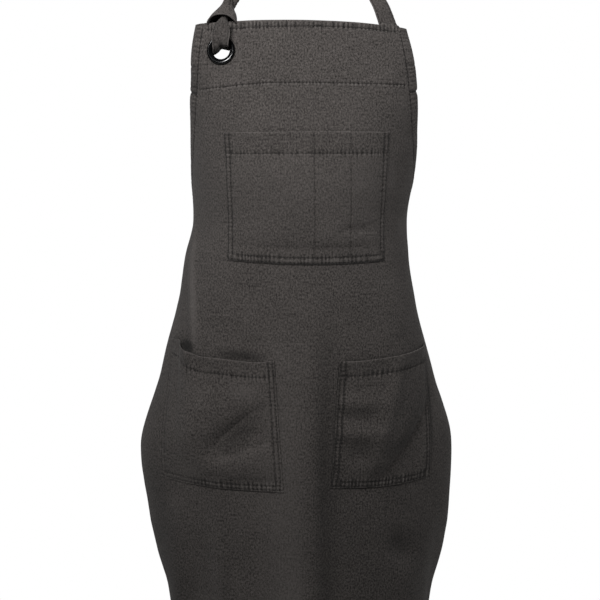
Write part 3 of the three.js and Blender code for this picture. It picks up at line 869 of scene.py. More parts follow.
# Soft form and tones of a hem
HEM_RIPPLE = (0.38, 0.42)  # middle and spread of its ripples, as shares of its depth
PAST_RIPPLE = (0.7, 1.2, 2.2, 0.8)  # the same past its stitches: strength, place, spread by depth, least
HEM_PUFF = 0.3
BACK_RELIEF = 0.3  # share of the relief that shows behind
CHANCE_CREASES = (0.6, 14, 0.45)  # depth, spacing and rarity of small creases
# painted shade in the creases across the hems
CREASE_SHADE = 1.1
RUBBED_EDGE = (0.7, 2.0)  # tone and width
RUBBED_PATCH = 9
SEWN_ROW = (0.95, 0.9)  # tone and width

# Tones along any seam
SEAM_TONE = 0.95
SEAM_GAIN = 1.4  # how fast a ripple reaches that tone
ROW_BREAKS = 0.6  # share of a row's dark line that the ripples hide
ROW_GAIN = 2

# The facing's row
FACING_STEP = 0.9
FACING_ROW_GAP = 3  # its strip ends this far inside the side hems' rows
FACING_STITCH_GAP = 1  # and its stitches on the front this far
FACING_RIPPLE = (1.6, 2.0)  # place and spread beside the stitches
FACING_ABOVE = 0.6  # strength above them
FACING_RELIEF = 0.8
FACING_SEAM = 0.6
FACING_ROW = (0.5, 0.8)  # tone and width
FACING_RUB = (0.5, 1.2)  # tone and width of the pale line below them
FACING_RUB_AT = 2.0


def seam_wear(ripple, beside_row):
    """Tone along a seam: rubbed pale on the ripples, unfaded in the hollows and in the row itself."""
    darkened = beside_row * (1 - ROW_BREAKS * np.clip(ROW_GAIN * ripple, -1, 1))
    return SEAM_TONE * np.clip(SEAM_GAIN * ripple, -1, 1) - darkened


def hem_creases(edge):
    """Depth of the creases across a side hem, and how far a hem's edge is drawn in, or out over the strap."""
    step, notch = np.zeros(len(edge)), np.zeros(len(edge))
    for side, drop, depth, drawn_in in HEM_CREASES:
        if side * edge[0, 0] > 0 and np.ptp(edge[:, 1]) > SIDE_HEM:
            step += depth * bump_at(edge[:, 1] - drop, CREASE_WIDTH)
            notch += drawn_in * bump_at(edge[:, 1] - drop - NOTCH_DROP, NOTCH_WIDTH)
    if np.max(edge[:, 1]) < TOP_HEM:
        climb, fall, rise = STRAP_RISE
        notch -= rise * (smooth_step(edge[:, 0], *climb) * (1 - smooth_step(edge[:, 0], *fall)))
    return step, notch


def hem_part(edge, inward, depth, drawn_up, making, seed):
    """A turned hem along an edge of the flat cut, with the ripples that its stitching draws up."""
    scale = depth / SIDE_HEM
    distance = HEM_PLACES * scale
    past = distance - depth
    turned_in = past <= 0
    step, notch = hem_creases(edge)
    drawn_in = distance[None] + notch[:, None] * np.clip(1 - distance / depth, 0, 1)[None]
    u = edge[:, :1] + inward[:, :1] * drawn_in
    v = edge[:, 1:] + inward[:, 1:] * drawn_in
    run = run_along(edge)
    middle, spread = HEM_RIPPLE
    on_hem = bump_at(past + middle * depth, spread * depth)
    strength, place, spread, least = PAST_RIPPLE
    past_hem = soft_line(past - place, strength, spread * scale + least)
    ripple = drawn_up * ripples(run, making, seed)[:, None] * np.where(turned_in, on_hem, past_hem)[None]
    deep, spacing, rarity = CHANCE_CREASES
    chance = deep * np.clip(soft_noise(run, 0 * run, spacing, seed + 9) - rarity, 0, 1)
    crease = (step + chance)[:, None] * turned_in[None]
    ripple = ripple * (1 - np.clip(2 * crease, 0, 1))
    puff = np.where(turned_in, HEM_PUFF * np.sin(np.pi * np.clip(distance / depth, 0, 1)) ** 0.7, 0)
    relief = ripple * making.pucker_height / MM - crease + puff[None] + groove(past, making)[None]
    edge_drop = HEM_CLOTH / 2 * (1 - rounded(distance, HEM_CLOTH / 2))
    sink = STRIP_SINK * smooth_step(past / scale, *STRIP_ENDS)
    thickness = np.where(turned_in, HEM_CLOTH, STRIP_CLOTH)
    points, normals = cloth_at(u, v)
    front = lifted(points, normals, relief - (edge_drop + sink)[None])
    back = lifted(points, normals, BACK_RELIEF * relief - (thickness - edge_drop + sink)[None])
    patchy = 0.5 + 0.5 * soft_noise(run, 0 * run, RUBBED_PATCH, seed + 7)
    edge_rub = soft_line(distance, *RUBBED_EDGE)[None] * patchy[:, None]
    sewn = min(scale, 1) * soft_line(past, *SEWN_ROW)[None]
    # Rubbed edges, seam wear, painted shade in the creases, and the streaks with their painted shading
    wear_and_shade = edge_rub + seam_wear(ripple, sewn) - CREASE_SHADE * crease + lines_on_cloth(STREAKS_AND_PAINTED_SHADING, u, v)
    wear_and_shade = np.clip(wear_and_shade, -1, 1)
    return cloth_part(front, back, u, v, wear_and_shade, wear_and_shade)


def facing_row_part(making):
    """The row of stitches that holds the facing, in a strip of drawn-up cloth."""
    reach = hem_line(FACING_DEPTH) - FACING_ROW_GAP
    along = np.arange(-reach, reach, FACING_STEP)[:, None]
    aside = ROW_PLACES[None]
    u, v = np.broadcast_arrays(along, facing_row(along) + aside)
    place, spread = FACING_RIPPLE
    band = np.where(aside > 0, 1.0, FACING_ABOVE) * bump_at(np.abs(aside) - place, spread)
    ripple = ripples(along[:, 0], making, FACING_FRONT_SEED)[:, None] * band
    sink = STRIP_SINK * smooth_step(np.abs(aside), *STRIP_ENDS)
    relief = ripple * FACING_RELIEF * making.pucker_height / MM + groove(aside, making) - sink
    points, normals = cloth_at(u, v)
    front = lifted(points, normals, relief)
    below = soft_line(aside - FACING_RUB_AT, *FACING_RUB)
    wear_and_shade = np.clip(seam_wear(FACING_SEAM * ripple, soft_line(aside, *FACING_ROW)) + below, -1, 1)
    return cloth_part(front, front - normals * STRIP_CLOTH, u, v, wear_and_shade, wear_and_shade)


def even_along(edge, inward, spacing):
    """An edge and its inward way at even steps."""
    run = run_along(edge)
    at = np.linspace(0, run[-1], max(2, round(run[-1] / spacing) + 1))
    return sample(run, edge, at), sample(run, inward, at)


def hem_edges():
    """Hemmed edges: flat points, ways into the cloth, hem depth, share of puckers, mesh spacing."""
    edge, inward = armhole_edge(np.linspace(0, ARMHOLE_DEPTH, 900))
    corner = edge[-1]
    side, side_in = np.array([corner, (corner[0], APRON_LENGTH)]), np.array([inward[-1], (-1, 0)])
    flipped = np.array([-1, 1])
    across = np.linspace(-1, 1, 600) * (hem_line(0) + TOP_HEM_LAP)
    top = np.stack([across, 0 * across], axis=-1)
    down = np.stack([0 * across, top_row(across) / TOP_HEM], axis=-1)
    bottom = np.array([[-SKIRT_HALF_WIDTH, APRON_LENGTH], [SKIRT_HALF_WIDTH, APRON_LENGTH]], float)
    return (
        (edge, inward, SIDE_HEM, 0.4, 1.0),
        (edge * flipped, inward * flipped, SIDE_HEM, 0.4, 1.0),
        (side, side_in, SIDE_HEM, 0.22, 2.2),
        (side * flipped, side_in * flipped, SIDE_HEM, 0.22, 2.2),
        (top, down, TOP_HEM, 1.05, 0.75),
        (bottom, np.array([[0, -1], [0, -1]]), BOTTOM_HEM, 0.5, 2.6),
    )


# Pockets

# Places of a pocket's mesh from its sewn edges and from its mouth
POCKET_EDGE = np.array((0, 0.2, 0.5, 0.9, 1.5, 2.2, 2.9, 3.8, 5.0, 6.3, 7.4, 8.2, 9.0, 9.8, 11))
POCKET_LIP = np.array((0, 0.2, 0.5, 0.9, 1.6, 2.6))
POCKET_STEP = 1.3
POCKET_JOIN = 1.4  # from those places to the even mesh
POCKET_CLOTH = 0.9
POCKET_FOLD = 1.0
POCKET_OFF = 0.15  # gap under a sewn edge
EDGE_REACH = 30  # how far from the base its rows shift the cloth
FOLD_ENDS = (8.2, 10.5)  # where the cloth turned under at the edges ends
MOUTH_FOLD_ENDS = (-0.5, 2)  # the same at the mouth, from its hem's stitches
FAINT_ENDS = (0.15, 0.55)  # shares across where faint sewing comes back
RIDGE = 5.2  # middle of the ridge between the two rows
HEM_FOLD_UP = 3.4  # the fold lies this far above the hem's stitches
SIDE_RIPPLES = 0.3
RIPPLE_BANDS = ((1, RIDGE, 3.0), (0.6, 11, 2.6))  # strength, distance from the edge, spread
MOUTH_RIPPLES = (0.5, 5)  # strength, spread
EDGE_ROW_WIDTH = 1.25
HEM_FOLD_WIDTH = 0.9
DOUBLED_TONE = 0.2  # the mouth's hem is a little darker
DOUBLED_START = (1.5, 4)  # drops below the mouth between which that sets in
DOUBLED_END = 2  # it fades out over this length above the hem's stitches
EDGE_SHADE_ENDS = (0.5, 1.2)
BASE_SHADE_ENDS = (0.8, 1.8)
DIVIDER_SPAN = (0.01, 0.93)  # start and length down the pocket, as shares
MOUTH_SPAN = (0.006, 0.988)  # the same across it, for the row under its mouth
PATCH_SIZE = 8
ROW_POINTS = 240
EDGE_ROUNDING = 5
MOUTH_ROUNDING = 1.1
FAINT_CLOTH = 0.2  # share of the thickness that is left where the sewing is faint
MOUTH_FADE = 1.4  # power by which the mouth's slack fades down the pocket
BELLY_SAG = 1.7  # power by which the belly lies below the middle
SEWN_RISE = (12, 0.6)  # steepness and power of the slack's rise from the sides
# Tone and width of the dark rows, the rims, rubbed pale and with a painted highlight, and the rubbed ridge
MOUTH_ROW = (0.9, 0.95)
DIVIDER_ROW = (0.5, 0.75)
MOUTH_RIM_RUB_AND_HIGHLIGHT = (0.95, 0.9)
EDGE_RIM_RUB_AND_HIGHLIGHT = (0.5, 0.6)
RIDGE_RUB = (0.2, 2.0)
# Shares of a dent's length over which it fades in and out
DENT_START = (-0.3, 0.3)
DENT_END = (0.7, 1.3)


def pocket_size(pocket):
    left, right, base_left, base_right = pocket_corners(pocket)
    width = (np.linalg.norm(right - left) + np.linalg.norm(base_right - base_left)) / 2
    height = (np.linalg.norm(base_left - left) + np.linalg.norm(base_right - right)) / 2
    return width, height


def pocket_flat(pocket, s, r):
    """Flat places of a pocket at shares across and down."""
    left, right, base_left, base_right = pocket_corners(pocket)
    across, down = s[..., None], r[..., None]
    mouth = left * (1 - across) + right * across
    flat = mouth * (1 - down) + (base_left * (1 - across) + base_right * across) * down
    drop = through(pocket["mouth_line"], 1, s) * (1 - r) + pocket["base_bow"] * np.sin(np.pi * s) * r
    bow = pocket["side_bow"] * np.sin(np.pi * r**0.6) * s**3
    return flat[..., 0] - bow, flat[..., 1] + drop


def pocket_off(pocket, s, r, u, v):
    """Height of a pocket's inner face off the panel: sewn down at sides and base, slack at its mouth."""
    height = through(pocket["mouth_line"], 2, s) * (1 - r) ** MOUTH_FADE
    height = height + pocket["belly"] * np.sin(np.pi * s) * np.sin(np.pi * r**BELLY_SAG)
    for *line, width, depth in pocket["dents"]:
        along, aside = beside_line(u, v, *line)
        window = smooth_step(along, *DENT_START) * (1 - smooth_step(along, *DENT_END))
        height = height - depth * window * bump_at(aside, width)
    steepness, power = SEWN_RISE
    return POCKET_OFF + np.maximum(height, 0) * np.clip(np.minimum(s, 1 - s) * steepness, 0, 1) ** power


def pocket_skins(pocket, s, r, making, seed):
    """Front and back points of a pocket at shares across and down, its flat places and its wear with painted
    shading.
    """
    width, height = pocket_size(pocket)
    left, right, mouth, base = s * width, (1 - s) * width, r * height, (1 - r) * height
    hem, rows = pocket["mouth_hem"], pocket["rows"]
    from_hem = mouth - hem
    from_base = np.interp(
        base, (0, *pocket["base_rows"], EDGE_REACH, height), (0, *rows, EDGE_REACH, height)
    )
    edge = np.minimum.reduce([left, right, from_base])
    plain = 1 - pocket["faint"] * (1 - smooth_step(s, *FAINT_ENDS))
    u, v = pocket_flat(pocket, s, r)
    off = pocket_off(pocket, s, r, u, v)

    ripple = np.zeros_like(u)
    relief = groove(from_hem, making)
    for k, (distance, along) in enumerate(((left, mouth), (right, mouth), (from_base, left))):
        share = pocket["ladder"] * plain if distance is from_base else SIDE_RIPPLES
        bands = [soft_line(distance - place, strength, spread) for strength, place, spread in RIPPLE_BANDS]
        band = share * sum(bands)
        ripple = ripple + ripples(along, making, seed + 10 * k) * band
        for row in rows:
            relief = relief + groove(distance - row, making)
    ripple = ripple + ripples(left, making, seed + 40) * soft_line(from_hem, *MOUTH_RIPPLES)
    sewn = soft_line(from_hem, *MOUTH_ROW)
    sewn = sewn + soft_line(from_hem + HEM_FOLD_UP, pocket["hem_fold"], HEM_FOLD_WIDTH)
    for row in rows:
        sewn = sewn + soft_line(edge - row, plain, EDGE_ROW_WIDTH)
    for divider in pocket["dividers"]:
        relief = relief + groove((s - divider) * width, making)
        sewn = sewn + soft_line((s - divider) * width, *DIVIDER_ROW)
    relief = relief + making.pucker_height / MM * ripple

    mouth_ends = [hem + end for end in MOUTH_FOLD_ENDS]
    folded = np.maximum(1 - smooth_step(edge, *FOLD_ENDS), 1 - smooth_step(mouth, *mouth_ends))
    thickness = (POCKET_CLOTH + (POCKET_FOLD - POCKET_CLOTH) * folded)
    thickness = thickness * (FAINT_CLOTH + (1 - FAINT_CLOTH) * plain)
    thickness = np.minimum(rounded(edge, EDGE_ROUNDING), rounded(mouth, MOUTH_ROUNDING)) * thickness
    points, normals = cloth_at(u, v)
    front = lifted(points, normals, off + thickness + relief)
    back = lifted(points, normals, np.minimum(off + 0.5 * relief, off + 0.5 * thickness))

    patchy = 0.5 + 0.5 * soft_noise(u, v, PATCH_SIZE, seed + 3)
    ridge = soft_line(edge - RIDGE, *RIDGE_RUB) * (0.5 + patchy)
    line = pocket["edge_shade"] * plain
    rim_tone, rim_width = EDGE_RIM_RUB_AND_HIGHLIGHT
    # rubbed pale rims with a painted highlight on the folded edges
    edge_rim_rub_and_highlight = soft_line(edge - rim_width - line, rim_tone * plain, rim_width)
    rim = (soft_line(mouth, *MOUTH_RIM_RUB_AND_HIGHLIGHT) + edge_rim_rub_and_highlight) * patchy
    # painted shade along the very edge and under the base
    rim = rim - line * (1 - smooth_step(edge, *EDGE_SHADE_ENDS))
    rim = rim - pocket["base_shade"] * plain * (1 - smooth_step(base, *BASE_SHADE_ENDS))
    doubled = DOUBLED_TONE * smooth_step(mouth, *DOUBLED_START)
    doubled = doubled * (1 - smooth_step(mouth, hem - DOUBLED_END, hem))
    # rims, ridge and seams, with the streaks and their painted shade and light
    wear_and_shade = rim + ridge - doubled + seam_wear(ripple, np.clip(sewn, 0, 1)) + lines_on_cloth(STREAKS_AND_PAINTED_SHADING, u, v)
    return front, back, normals, u, v, np.clip(wear_and_shade, -1, 1)


def pocket_grid(pocket):
    width, height = pocket_size(pocket)
    start, end = POCKET_EDGE[-1] + POCKET_JOIN, POCKET_EDGE[::-1]
    dividers = [divider * width for divider in pocket["dividers"]]
    inner = graded(start, width - start, POCKET_STEP, dividers)
    s = np.concatenate([POCKET_EDGE, inner, width - end]) / width
    inner = graded(POCKET_LIP[-1] + POCKET_JOIN, height - start, POCKET_STEP, (pocket["mouth_hem"],))
    r = np.concatenate([POCKET_LIP, inner, height - end]) / height
    return np.meshgrid(s, r)


def pocket_rows(pocket, making, seed):
    """Rows of stitches of a pocket: inside its sides and base, under its mouth and at its dividers."""
    width, height = pocket_size(pocket)
    full, rows = np.linspace(0, 1, ROW_POINTS), []

    def add(s, r):
        s, r = (np.array(share) for share in np.broadcast_arrays(s, r))
        front, _, normals, *_ = pocket_skins(pocket, s, r, making, seed)
        rows.append((front, normals))

    for row, base_row in zip(pocket["rows"], pocket["base_rows"]):
        a, b = row / width, 1 - base_row / height
        add(a, full * b)
        add(1 - a, full * b)
        add(a + full * (1 - 2 * a), b)
    add(MOUTH_SPAN[0] + MOUTH_SPAN[1] * full, pocket["mouth_hem"] / height)
    for divider in pocket["dividers"]:
        add(divider, DIVIDER_SPAN[0] + DIVIDER_SPAN[1] * full)
    return rows


# Ribbons: straps and ties

RIBBON_PLACES = (-1, -0.985, -0.95, -0.9, -0.84, -0.78, -0.68, -0.5, -0.3, -0.1)
# Steps of the mesh along the neck strap, its tail, the ties and their free ends
NECK_STEP = 1.8
TAIL_STEP = 1.5
TIE_STEP = 2.5
FREE_END_STEP = 2.2


def station(u, v, off, faces, width, curl, lean=0):
    """A ribbon's middle, facing, width and curl at a place on the cloth."""
    points, normals = cloth_at(*at_point(u, v))
    point, normal = points[0], normals[0]
    down = drape(*at_point(u, v + PROBE))[0] - drape(*at_point(u, v - PROBE))[0]
    up = -down / np.linalg.norm(down)
    look = {"front": normal, "back": -normal, "up": up}[faces]
    lean = math.radians(lean)
    look = look * math.cos(lean) + np.cross(up, normal) * math.sin(lean)
    return point + normal * off, look, width, curl


def neck_station(row, side):
    (x, y, z), (nx, ny, nz) = row
    return np.array([side * x, y, z], float), unit(np.array([side * nx, ny, nz])), STRAP_WIDTH, 0


def curve_through(points, places):
    """Centripetal curve through points, at places counted in points."""
    points = np.asarray(points, float)
    padded = np.concatenate([[2 * points[0] - points[1]], points, [2 * points[-1] - points[-2]]])
    k = np.clip(places.astype(int), 0, len(points) - 2)
    t = (places - k)[:, None]
    p0, p1, p2, p3 = (padded[k + j] for j in range(4))

    def knot_gap(a, b):
        return np.maximum(np.linalg.norm(b - a, axis=1, keepdims=True) ** 0.5, 1e-4)

    d0, d1, d2 = knot_gap(p0, p1), knot_gap(p1, p2), knot_gap(p2, p3)
    m1 = ((p1 - p0) / d0 - (p2 - p0) / (d0 + d1) + (p2 - p1) / d1) * d1
    m2 = ((p2 - p1) / d1 - (p3 - p1) / (d1 + d2) + (p3 - p2) / d2) * d1
    return (
        p1
        + m1 * t
        + (-3 * p1 + 3 * p2 - 2 * m1 - m2) * t**2
        + (2 * p1 - 2 * p2 + m1 + m2) * t**3
    )


STRAP_ROUNDING = 1.1
STRAP_GROOVE = 0.45  # share of a groove's depth
STRAP_RIPPLES = (0.4, 2.4)  # share of a seam's ripples, spread
STRAP_RUB = (0.95, 1.0)  # tone and width, a little inside the edge
STRAP_RUB_AT = 0.5
STRAP_ROW_TONE = (0.6, 0.7)  # tone and width
STRAP_STITCH_SINK = 0.1
NEAR = 0.01  # step to each side for a ribbon's way along, in stations
STRAIGHT = 1e-3  # least curl, in radians


def ribbon_part(stations, step, making, crease=None, tone=None):
    """A folded and edge-stitched ribbon through stations, its rows of stitches and its length."""
    middles = np.array([s[0] for s in stations])
    places = [0.0]
    for k, gap in enumerate(np.linalg.norm(np.diff(middles, axis=0), axis=1)):
        places.extend(k + np.linspace(0, 1, max(4, round(gap / step)) + 1)[1:])
    places = np.array(places)
    middle = curve_through(middles, places)
    ahead = curve_through(middles, np.minimum(places + NEAR, len(stations) - 1))
    tangent = unit(ahead - curve_through(middles, np.maximum(places - NEAR, 0)))
    table = [(k, *s[1], s[2], s[3]) for k, s in enumerate(stations)]
    face = np.stack([through(table, column, places) for column in (1, 2, 3)], axis=-1)
    face = unit(face - tangent * (face * tangent).sum(1, keepdims=True))
    aside = np.cross(face, tangent)
    width = through(table, 4, places)
    curl = np.radians(through(table, 5, places))
    curl = np.where(np.abs(curl) < STRAIGHT, STRAIGHT, curl)
    run = run_along(middle)

    def place(across, height):
        """Points at shares across the ribbon and heights off its middle layer."""
        turn = across * curl[:, None]
        radius = (width / 2 / curl)[:, None]
        normal = face[:, None] * np.cos(turn)[..., None] - aside[:, None] * np.sin(turn)[..., None]
        spot = (
            middle[:, None]
            + aside[:, None] * (radius * np.sin(turn))[..., None]
            + face[:, None] * (radius * (1 - np.cos(turn)))[..., None]
        )
        return lifted(spot, normal, height), normal

    share = np.concatenate([RIBBON_PLACES, -np.array(RIBBON_PLACES)[::-1]])
    across = np.repeat(share[None], len(places), axis=0)
    flat_across = across * STRAP_WIDTH / 2
    from_edge = (1 - np.abs(across)) * STRAP_WIDTH / 2
    half = STRAP_CLOTH / 2 * rounded(from_edge, STRAP_ROUNDING)
    dip = STRAP_GROOVE * groove(from_edge - STRAP_ROW, making)
    ripple = making.pucker_height / MM * ripples(run, making, STRAP_SEED)[:, None]
    shift = ripple * soft_line(from_edge, *STRAP_RIPPLES)
    if crease is not None:
        shift = shift + crease(run[:, None], flat_across)
    front, _ = place(across, half + dip + shift)
    back, _ = place(across, -half - dip + shift)
    points, quads = tube(np.concatenate([front, back[:, ::-1]], axis=1))
    flat = np.stack([flat_across, np.repeat(run[:, None], len(share), axis=1)], axis=-1)
    flat = np.concatenate([flat, flat[:, ::-1]], axis=1).reshape(-1, 2)
    wear_and_shade = soft_line(from_edge - STRAP_RUB_AT, *STRAP_RUB) - soft_line(from_edge - STRAP_ROW, *STRAP_ROW_TONE)
    if tone is not None:
        wear_and_shade = wear_and_shade + tone(run[:, None], flat_across)
    wear_and_shade = np.clip(wear_and_shade, -1, 1)
    wear_and_shade = np.concatenate([wear_and_shade, wear_and_shade[:, ::-1]], axis=1).ravel()
    rows = []
    for side in (-1, 1):
        line = np.full((len(places), 1), side * (1 - 2 * STRAP_ROW / STRAP_WIDTH))
        lift = np.full((len(places), 1), STRAP_CLOTH / 2 - STRAP_STITCH_SINK)
        extra = 0 if crease is None else crease(run[:, None], line * STRAP_WIDTH / 2)
        for sign in (1, -1):
            points_row, normal = place(line, sign * lift + extra)
            rows.append((points_row[:, 0], sign * normal[:, 0]))
    return (points, quads, flat, wear_and_shade), rows, run[-1]


# Finishes


class Wiring:
    """Adds nodes to a tree and joins their sockets."""

    def __init__(self, tree):
        self.tree = tree

    def add(self, kind, inputs=None, **settings):
        node = self.tree.nodes.new(kind)
        for key, value in settings.items():
            setattr(node, key, value)
        for key, value in (inputs or {}).items():
            if isinstance(value, bpy.types.NodeSocket):
                self.tree.links.new(value, node.inputs[key])
            else:
                node.inputs[key].default_value = value
        return node

    def math(self, operation, *values):
        inputs = dict(enumerate(values))
        return self.add("ShaderNodeMath", inputs, operation=operation).outputs[0]

    def plus(self, a, b):
        return self.math("ADD", a, b)

    def times(self, a, b):
        return self.math("MULTIPLY", a, b)

    def mix(self, share, a, b, blend="MIX"):
        inputs = {0: share, 6: a, 7: b}
        return self.add("ShaderNodeMix", inputs, data_type="RGBA", blend_type=blend).outputs[2]

    def noise(self, vector, scale, detail, roughness=0.5):
        inputs = {"Vector": vector, "Scale": scale, "Detail": detail, "Roughness": roughness}
        return self.add("ShaderNodeTexNoise", inputs).outputs[0]

    def spread(self, value, low, high, new_low, new_high):
        inputs = {0: value, 1: low, 2: high, 3: new_low, 4: new_high}
        return self.add("ShaderNodeMapRange", inputs).outputs[0]

    def stretched(self, vector, factors):
        return self.add("ShaderNodeVectorMath", {0: vector, 1: factors}, operation="MULTIPLY").outputs[0]

    def bump(self, height, strength, distance):
        inputs = {"Strength": strength, "Distance": distance * MM, "Height": height}
        return self.add("ShaderNodeBump", inputs).outputs[0]

    def surface(self, inputs):
        shader = self.add("ShaderNodeBsdfPrincipled", inputs)
        self.add("ShaderNodeOutputMaterial", {0: shader.outputs[0]})


def new_group(name, inputs, outputs):
    group = bpy.data.node_groups.new(name, "ShaderNodeTree")
    for socket_name, kind, default in inputs:
        socket = group.interface.new_socket(name=socket_name, in_out="INPUT", socket_type=kind)
        socket.default_value = default
    for socket_name, kind in outputs:
        group.interface.new_socket(name=socket_name, in_out="OUTPUT", socket_type=kind)
    wiring = Wiring(group)
    return group, wiring, wiring.add("NodeGroupInput").outputs, wiring.add("NodeGroupOutput")


def twill_weave():
    """Three-up, one-down twill: which yarn is on top, and how high it stands."""
    group, w, given, out = new_group(
        "Twill weave",
        (("Flat", "NodeSocketVector", (0, 0, 0)), ("Yarn Pitch", "NodeSocketFloat", 0.0006)),
        (("Height", "NodeSocketFloat"), ("Weft", "NodeSocketFloat")),
    )
    wander = w.noise(w.stretched(given["Flat"], (160, 30, 1)), 1.0, 1.0)
    flat = w.add("ShaderNodeSeparateXYZ", {0: given["Flat"]}).outputs
    x = w.plus(w.math("DIVIDE", flat[0], given["Yarn Pitch"]), w.times(wander, 1.4))
    y = w.math("DIVIDE", flat[1], given["Yarn Pitch"])
    step = w.plus(w.math("FLOOR", x), w.math("FLOOR", y))
    weft = w.math("LESS_THAN", w.math("FLOORED_MODULO", step, 4.0), 0.5)
    warp_round = w.math("ABSOLUTE", w.math("SINE", w.times(x, math.pi)))
    weft_round = w.times(w.math("ABSOLUTE", w.math("SINE", w.times(y, math.pi))), 0.6)
    warp_height = w.times(warp_round, w.math("SUBTRACT", 1.0, weft))
    height = w.plus(warp_height, w.times(weft_round, weft))
    w.tree.links.new(height, out.inputs["Height"])
    w.tree.links.new(weft, out.inputs["Weft"])
    return group


# Washed cloth: how finely its noise is drawn, per metre
SLUB_STRETCH = (640, 130, 1)
SPECK_STRETCH = (520, 380, 1)
WASH_SCALE = 22.0
CLOUD_SCALE = 105.0
WEFT_SHARE = 0.35  # share of the weft's colour that shows
# The pale side of the wear also paints highlights, and its dark side paints shade
RUBBED_AND_LIT_SHARE = 0.5
UNFADED_AND_SHADED_SHARE = 0.72
UNFADED_AND_SHADED_COLOUR = (0.006, 0.006, 0.006, 1)


def washed_tone():
    """Colour of garment-washed cloth: thick and thin yarns, uneven washing and rubbed seams, with the painted
    highlights and painted shade that its wear input also carries.
    """
    group, w, given, out = new_group(
        "Washed tone",
        (
            ("Flat", "NodeSocketVector", (0, 0, 0)),
            ("Weft", "NodeSocketFloat", 0.0),
            ("Wear and shade", "NodeSocketFloat", 0.0),
            ("Warp Colour", "NodeSocketColor", (0.05, 0.05, 0.05, 1)),
            ("Weft Colour", "NodeSocketColor", (0.1, 0.1, 0.1, 1)),
            ("Rubbed and Lit Colour", "NodeSocketColor", (0.12, 0.12, 0.12, 1)),
            ("Slub", "NodeSocketFloat", 0.3),
        ),
        (("Colour", "NodeSocketColor"), ("Roughness", "NodeSocketFloat")),
    )
    slub = w.noise(w.stretched(given["Flat"], SLUB_STRETCH), 1.0, 2.0, 0.6)
    speck = w.noise(w.stretched(given["Flat"], SPECK_STRETCH), 1.0, 2.0, 0.6)
    wash = w.noise(given["Flat"], WASH_SCALE, 3.0, 0.55)
    cloud = w.noise(given["Flat"], CLOUD_SCALE, 3.0, 0.6)
    yarn = w.mix(w.times(given["Weft"], WEFT_SHARE), given["Warp Colour"], given["Weft Colour"])
    uneven = w.plus(w.spread(slub, 0.3, 0.7, -0.6, 0.6), w.spread(speck, 0.3, 0.7, -2.2, 2.2))
    uneven = w.times(uneven, given["Slub"])
    mottle = w.plus(w.spread(wash, 0.25, 0.75, 0.9, 1.1), w.spread(cloud, 0.25, 0.75, -0.12, 0.12))
    shade = w.plus(uneven, mottle)
    bright = w.add("ShaderNodeCombineColor", {0: shade, 1: shade, 2: shade}).outputs[0]
    toned = w.mix(1.0, yarn, bright, "MULTIPLY")
    pale = w.math("MAXIMUM", given["Wear and shade"], 0.0)
    deep = w.math("MAXIMUM", w.times(given["Wear and shade"], -1.0), 0.0)
    # rubbed pale with painted highlights, then unfaded dark with painted shade
    worn_and_shaded = w.mix(w.times(pale, RUBBED_AND_LIT_SHARE), toned, given["Rubbed and Lit Colour"])
    worn_and_shaded = w.mix(w.times(deep, UNFADED_AND_SHADED_SHARE), worn_and_shaded, UNFADED_AND_SHADED_COLOUR)
    w.tree.links.new(worn_and_shaded, out.inputs["Colour"])
    w.tree.links.new(w.spread(given["Wear and shade"], 0.0, 1.0, 0.93, 0.8), out.inputs["Roughness"])
    return group


def shared_group(name, maker):
    return bpy.data.node_groups.get(name) or maker()


def new_material(name):
    """A material with an empty tree, and the wiring of it."""
    material = bpy.data.materials.new(name)
    material.use_nodes = True
    material.node_tree.nodes.clear()
    return material, Wiring(material.node_tree)


def denim(name, cloth, tone=1.0):
    """Denim for one kind of piece, from the shared weave and tone."""
    if name in bpy.data.materials:
        return bpy.data.materials[name]
    material, w = new_material(name)
    flat = w.add("ShaderNodeUVMap", uv_map="Flat").outputs[0]
    weave = w.add(
        "ShaderNodeGroup",
        {"Flat": flat, "Yarn Pitch": cloth.yarn_pitch},
        node_tree=shared_group("Twill weave", twill_weave),
    ).outputs

    def dyed(colour):
        return (*(tone * c for c in colour), 1)

    toned = w.add(
        "ShaderNodeGroup",
        {
            "Flat": flat,
            "Weft": weave["Weft"],
            "Wear and shade": w.add("ShaderNodeAttribute", attribute_name="Wear and shade").outputs["Fac"],
            "Warp Colour": dyed(cloth.warp_colour),
            "Weft Colour": dyed(cloth.weft_colour),
            "Rubbed and Lit Colour": dyed(cloth.rubbed_and_lit_colour),
            "Slub": cloth.slub,
        },
        node_tree=shared_group("Washed tone", washed_tone),
    ).outputs
    w.surface(
        {
            "Base Color": toned["Colour"],
            "Roughness": toned["Roughness"],
            "Normal": w.bump(weave["Height"], 0.3, 0.25),
            "Specular IOR Level": 0.15,
            "Sheen Weight": 0.06,
            "Sheen Roughness": 0.6,
        }
    )
    return material


THREAD_TWIST = (2000.0, 9000.0)  # radians for each metre across and along
THREAD_HOLLOW_SHADE = 0.75  # painted shade between the twists, as the share of its colour left there


def thread(cloth):
    """Twisted sewing thread, with painted shade between its twists."""
    name = "Sewing thread"
    if name in bpy.data.materials:
        return bpy.data.materials[name]
    material, w = new_material(name)
    flat = w.add("ShaderNodeUVMap", uv_map="Flat").outputs[0]
    parts = w.add("ShaderNodeSeparateXYZ", {0: flat}).outputs
    across, along = THREAD_TWIST
    turn = w.plus(w.times(parts[0], across), w.times(parts[1], along))
    twist = w.spread(w.math("SINE", turn), -1.0, 1.0, 0.0, 1.0)
    hollow_shade = [THREAD_HOLLOW_SHADE * c for c in cloth.thread_colour]
    colour = w.mix(twist, (*hollow_shade, 1), (*cloth.thread_colour, 1))
    w.surface({"Base Color": colour, "Roughness": 0.7, "Normal": w.bump(twist, 0.5, 0.08)})
    return material


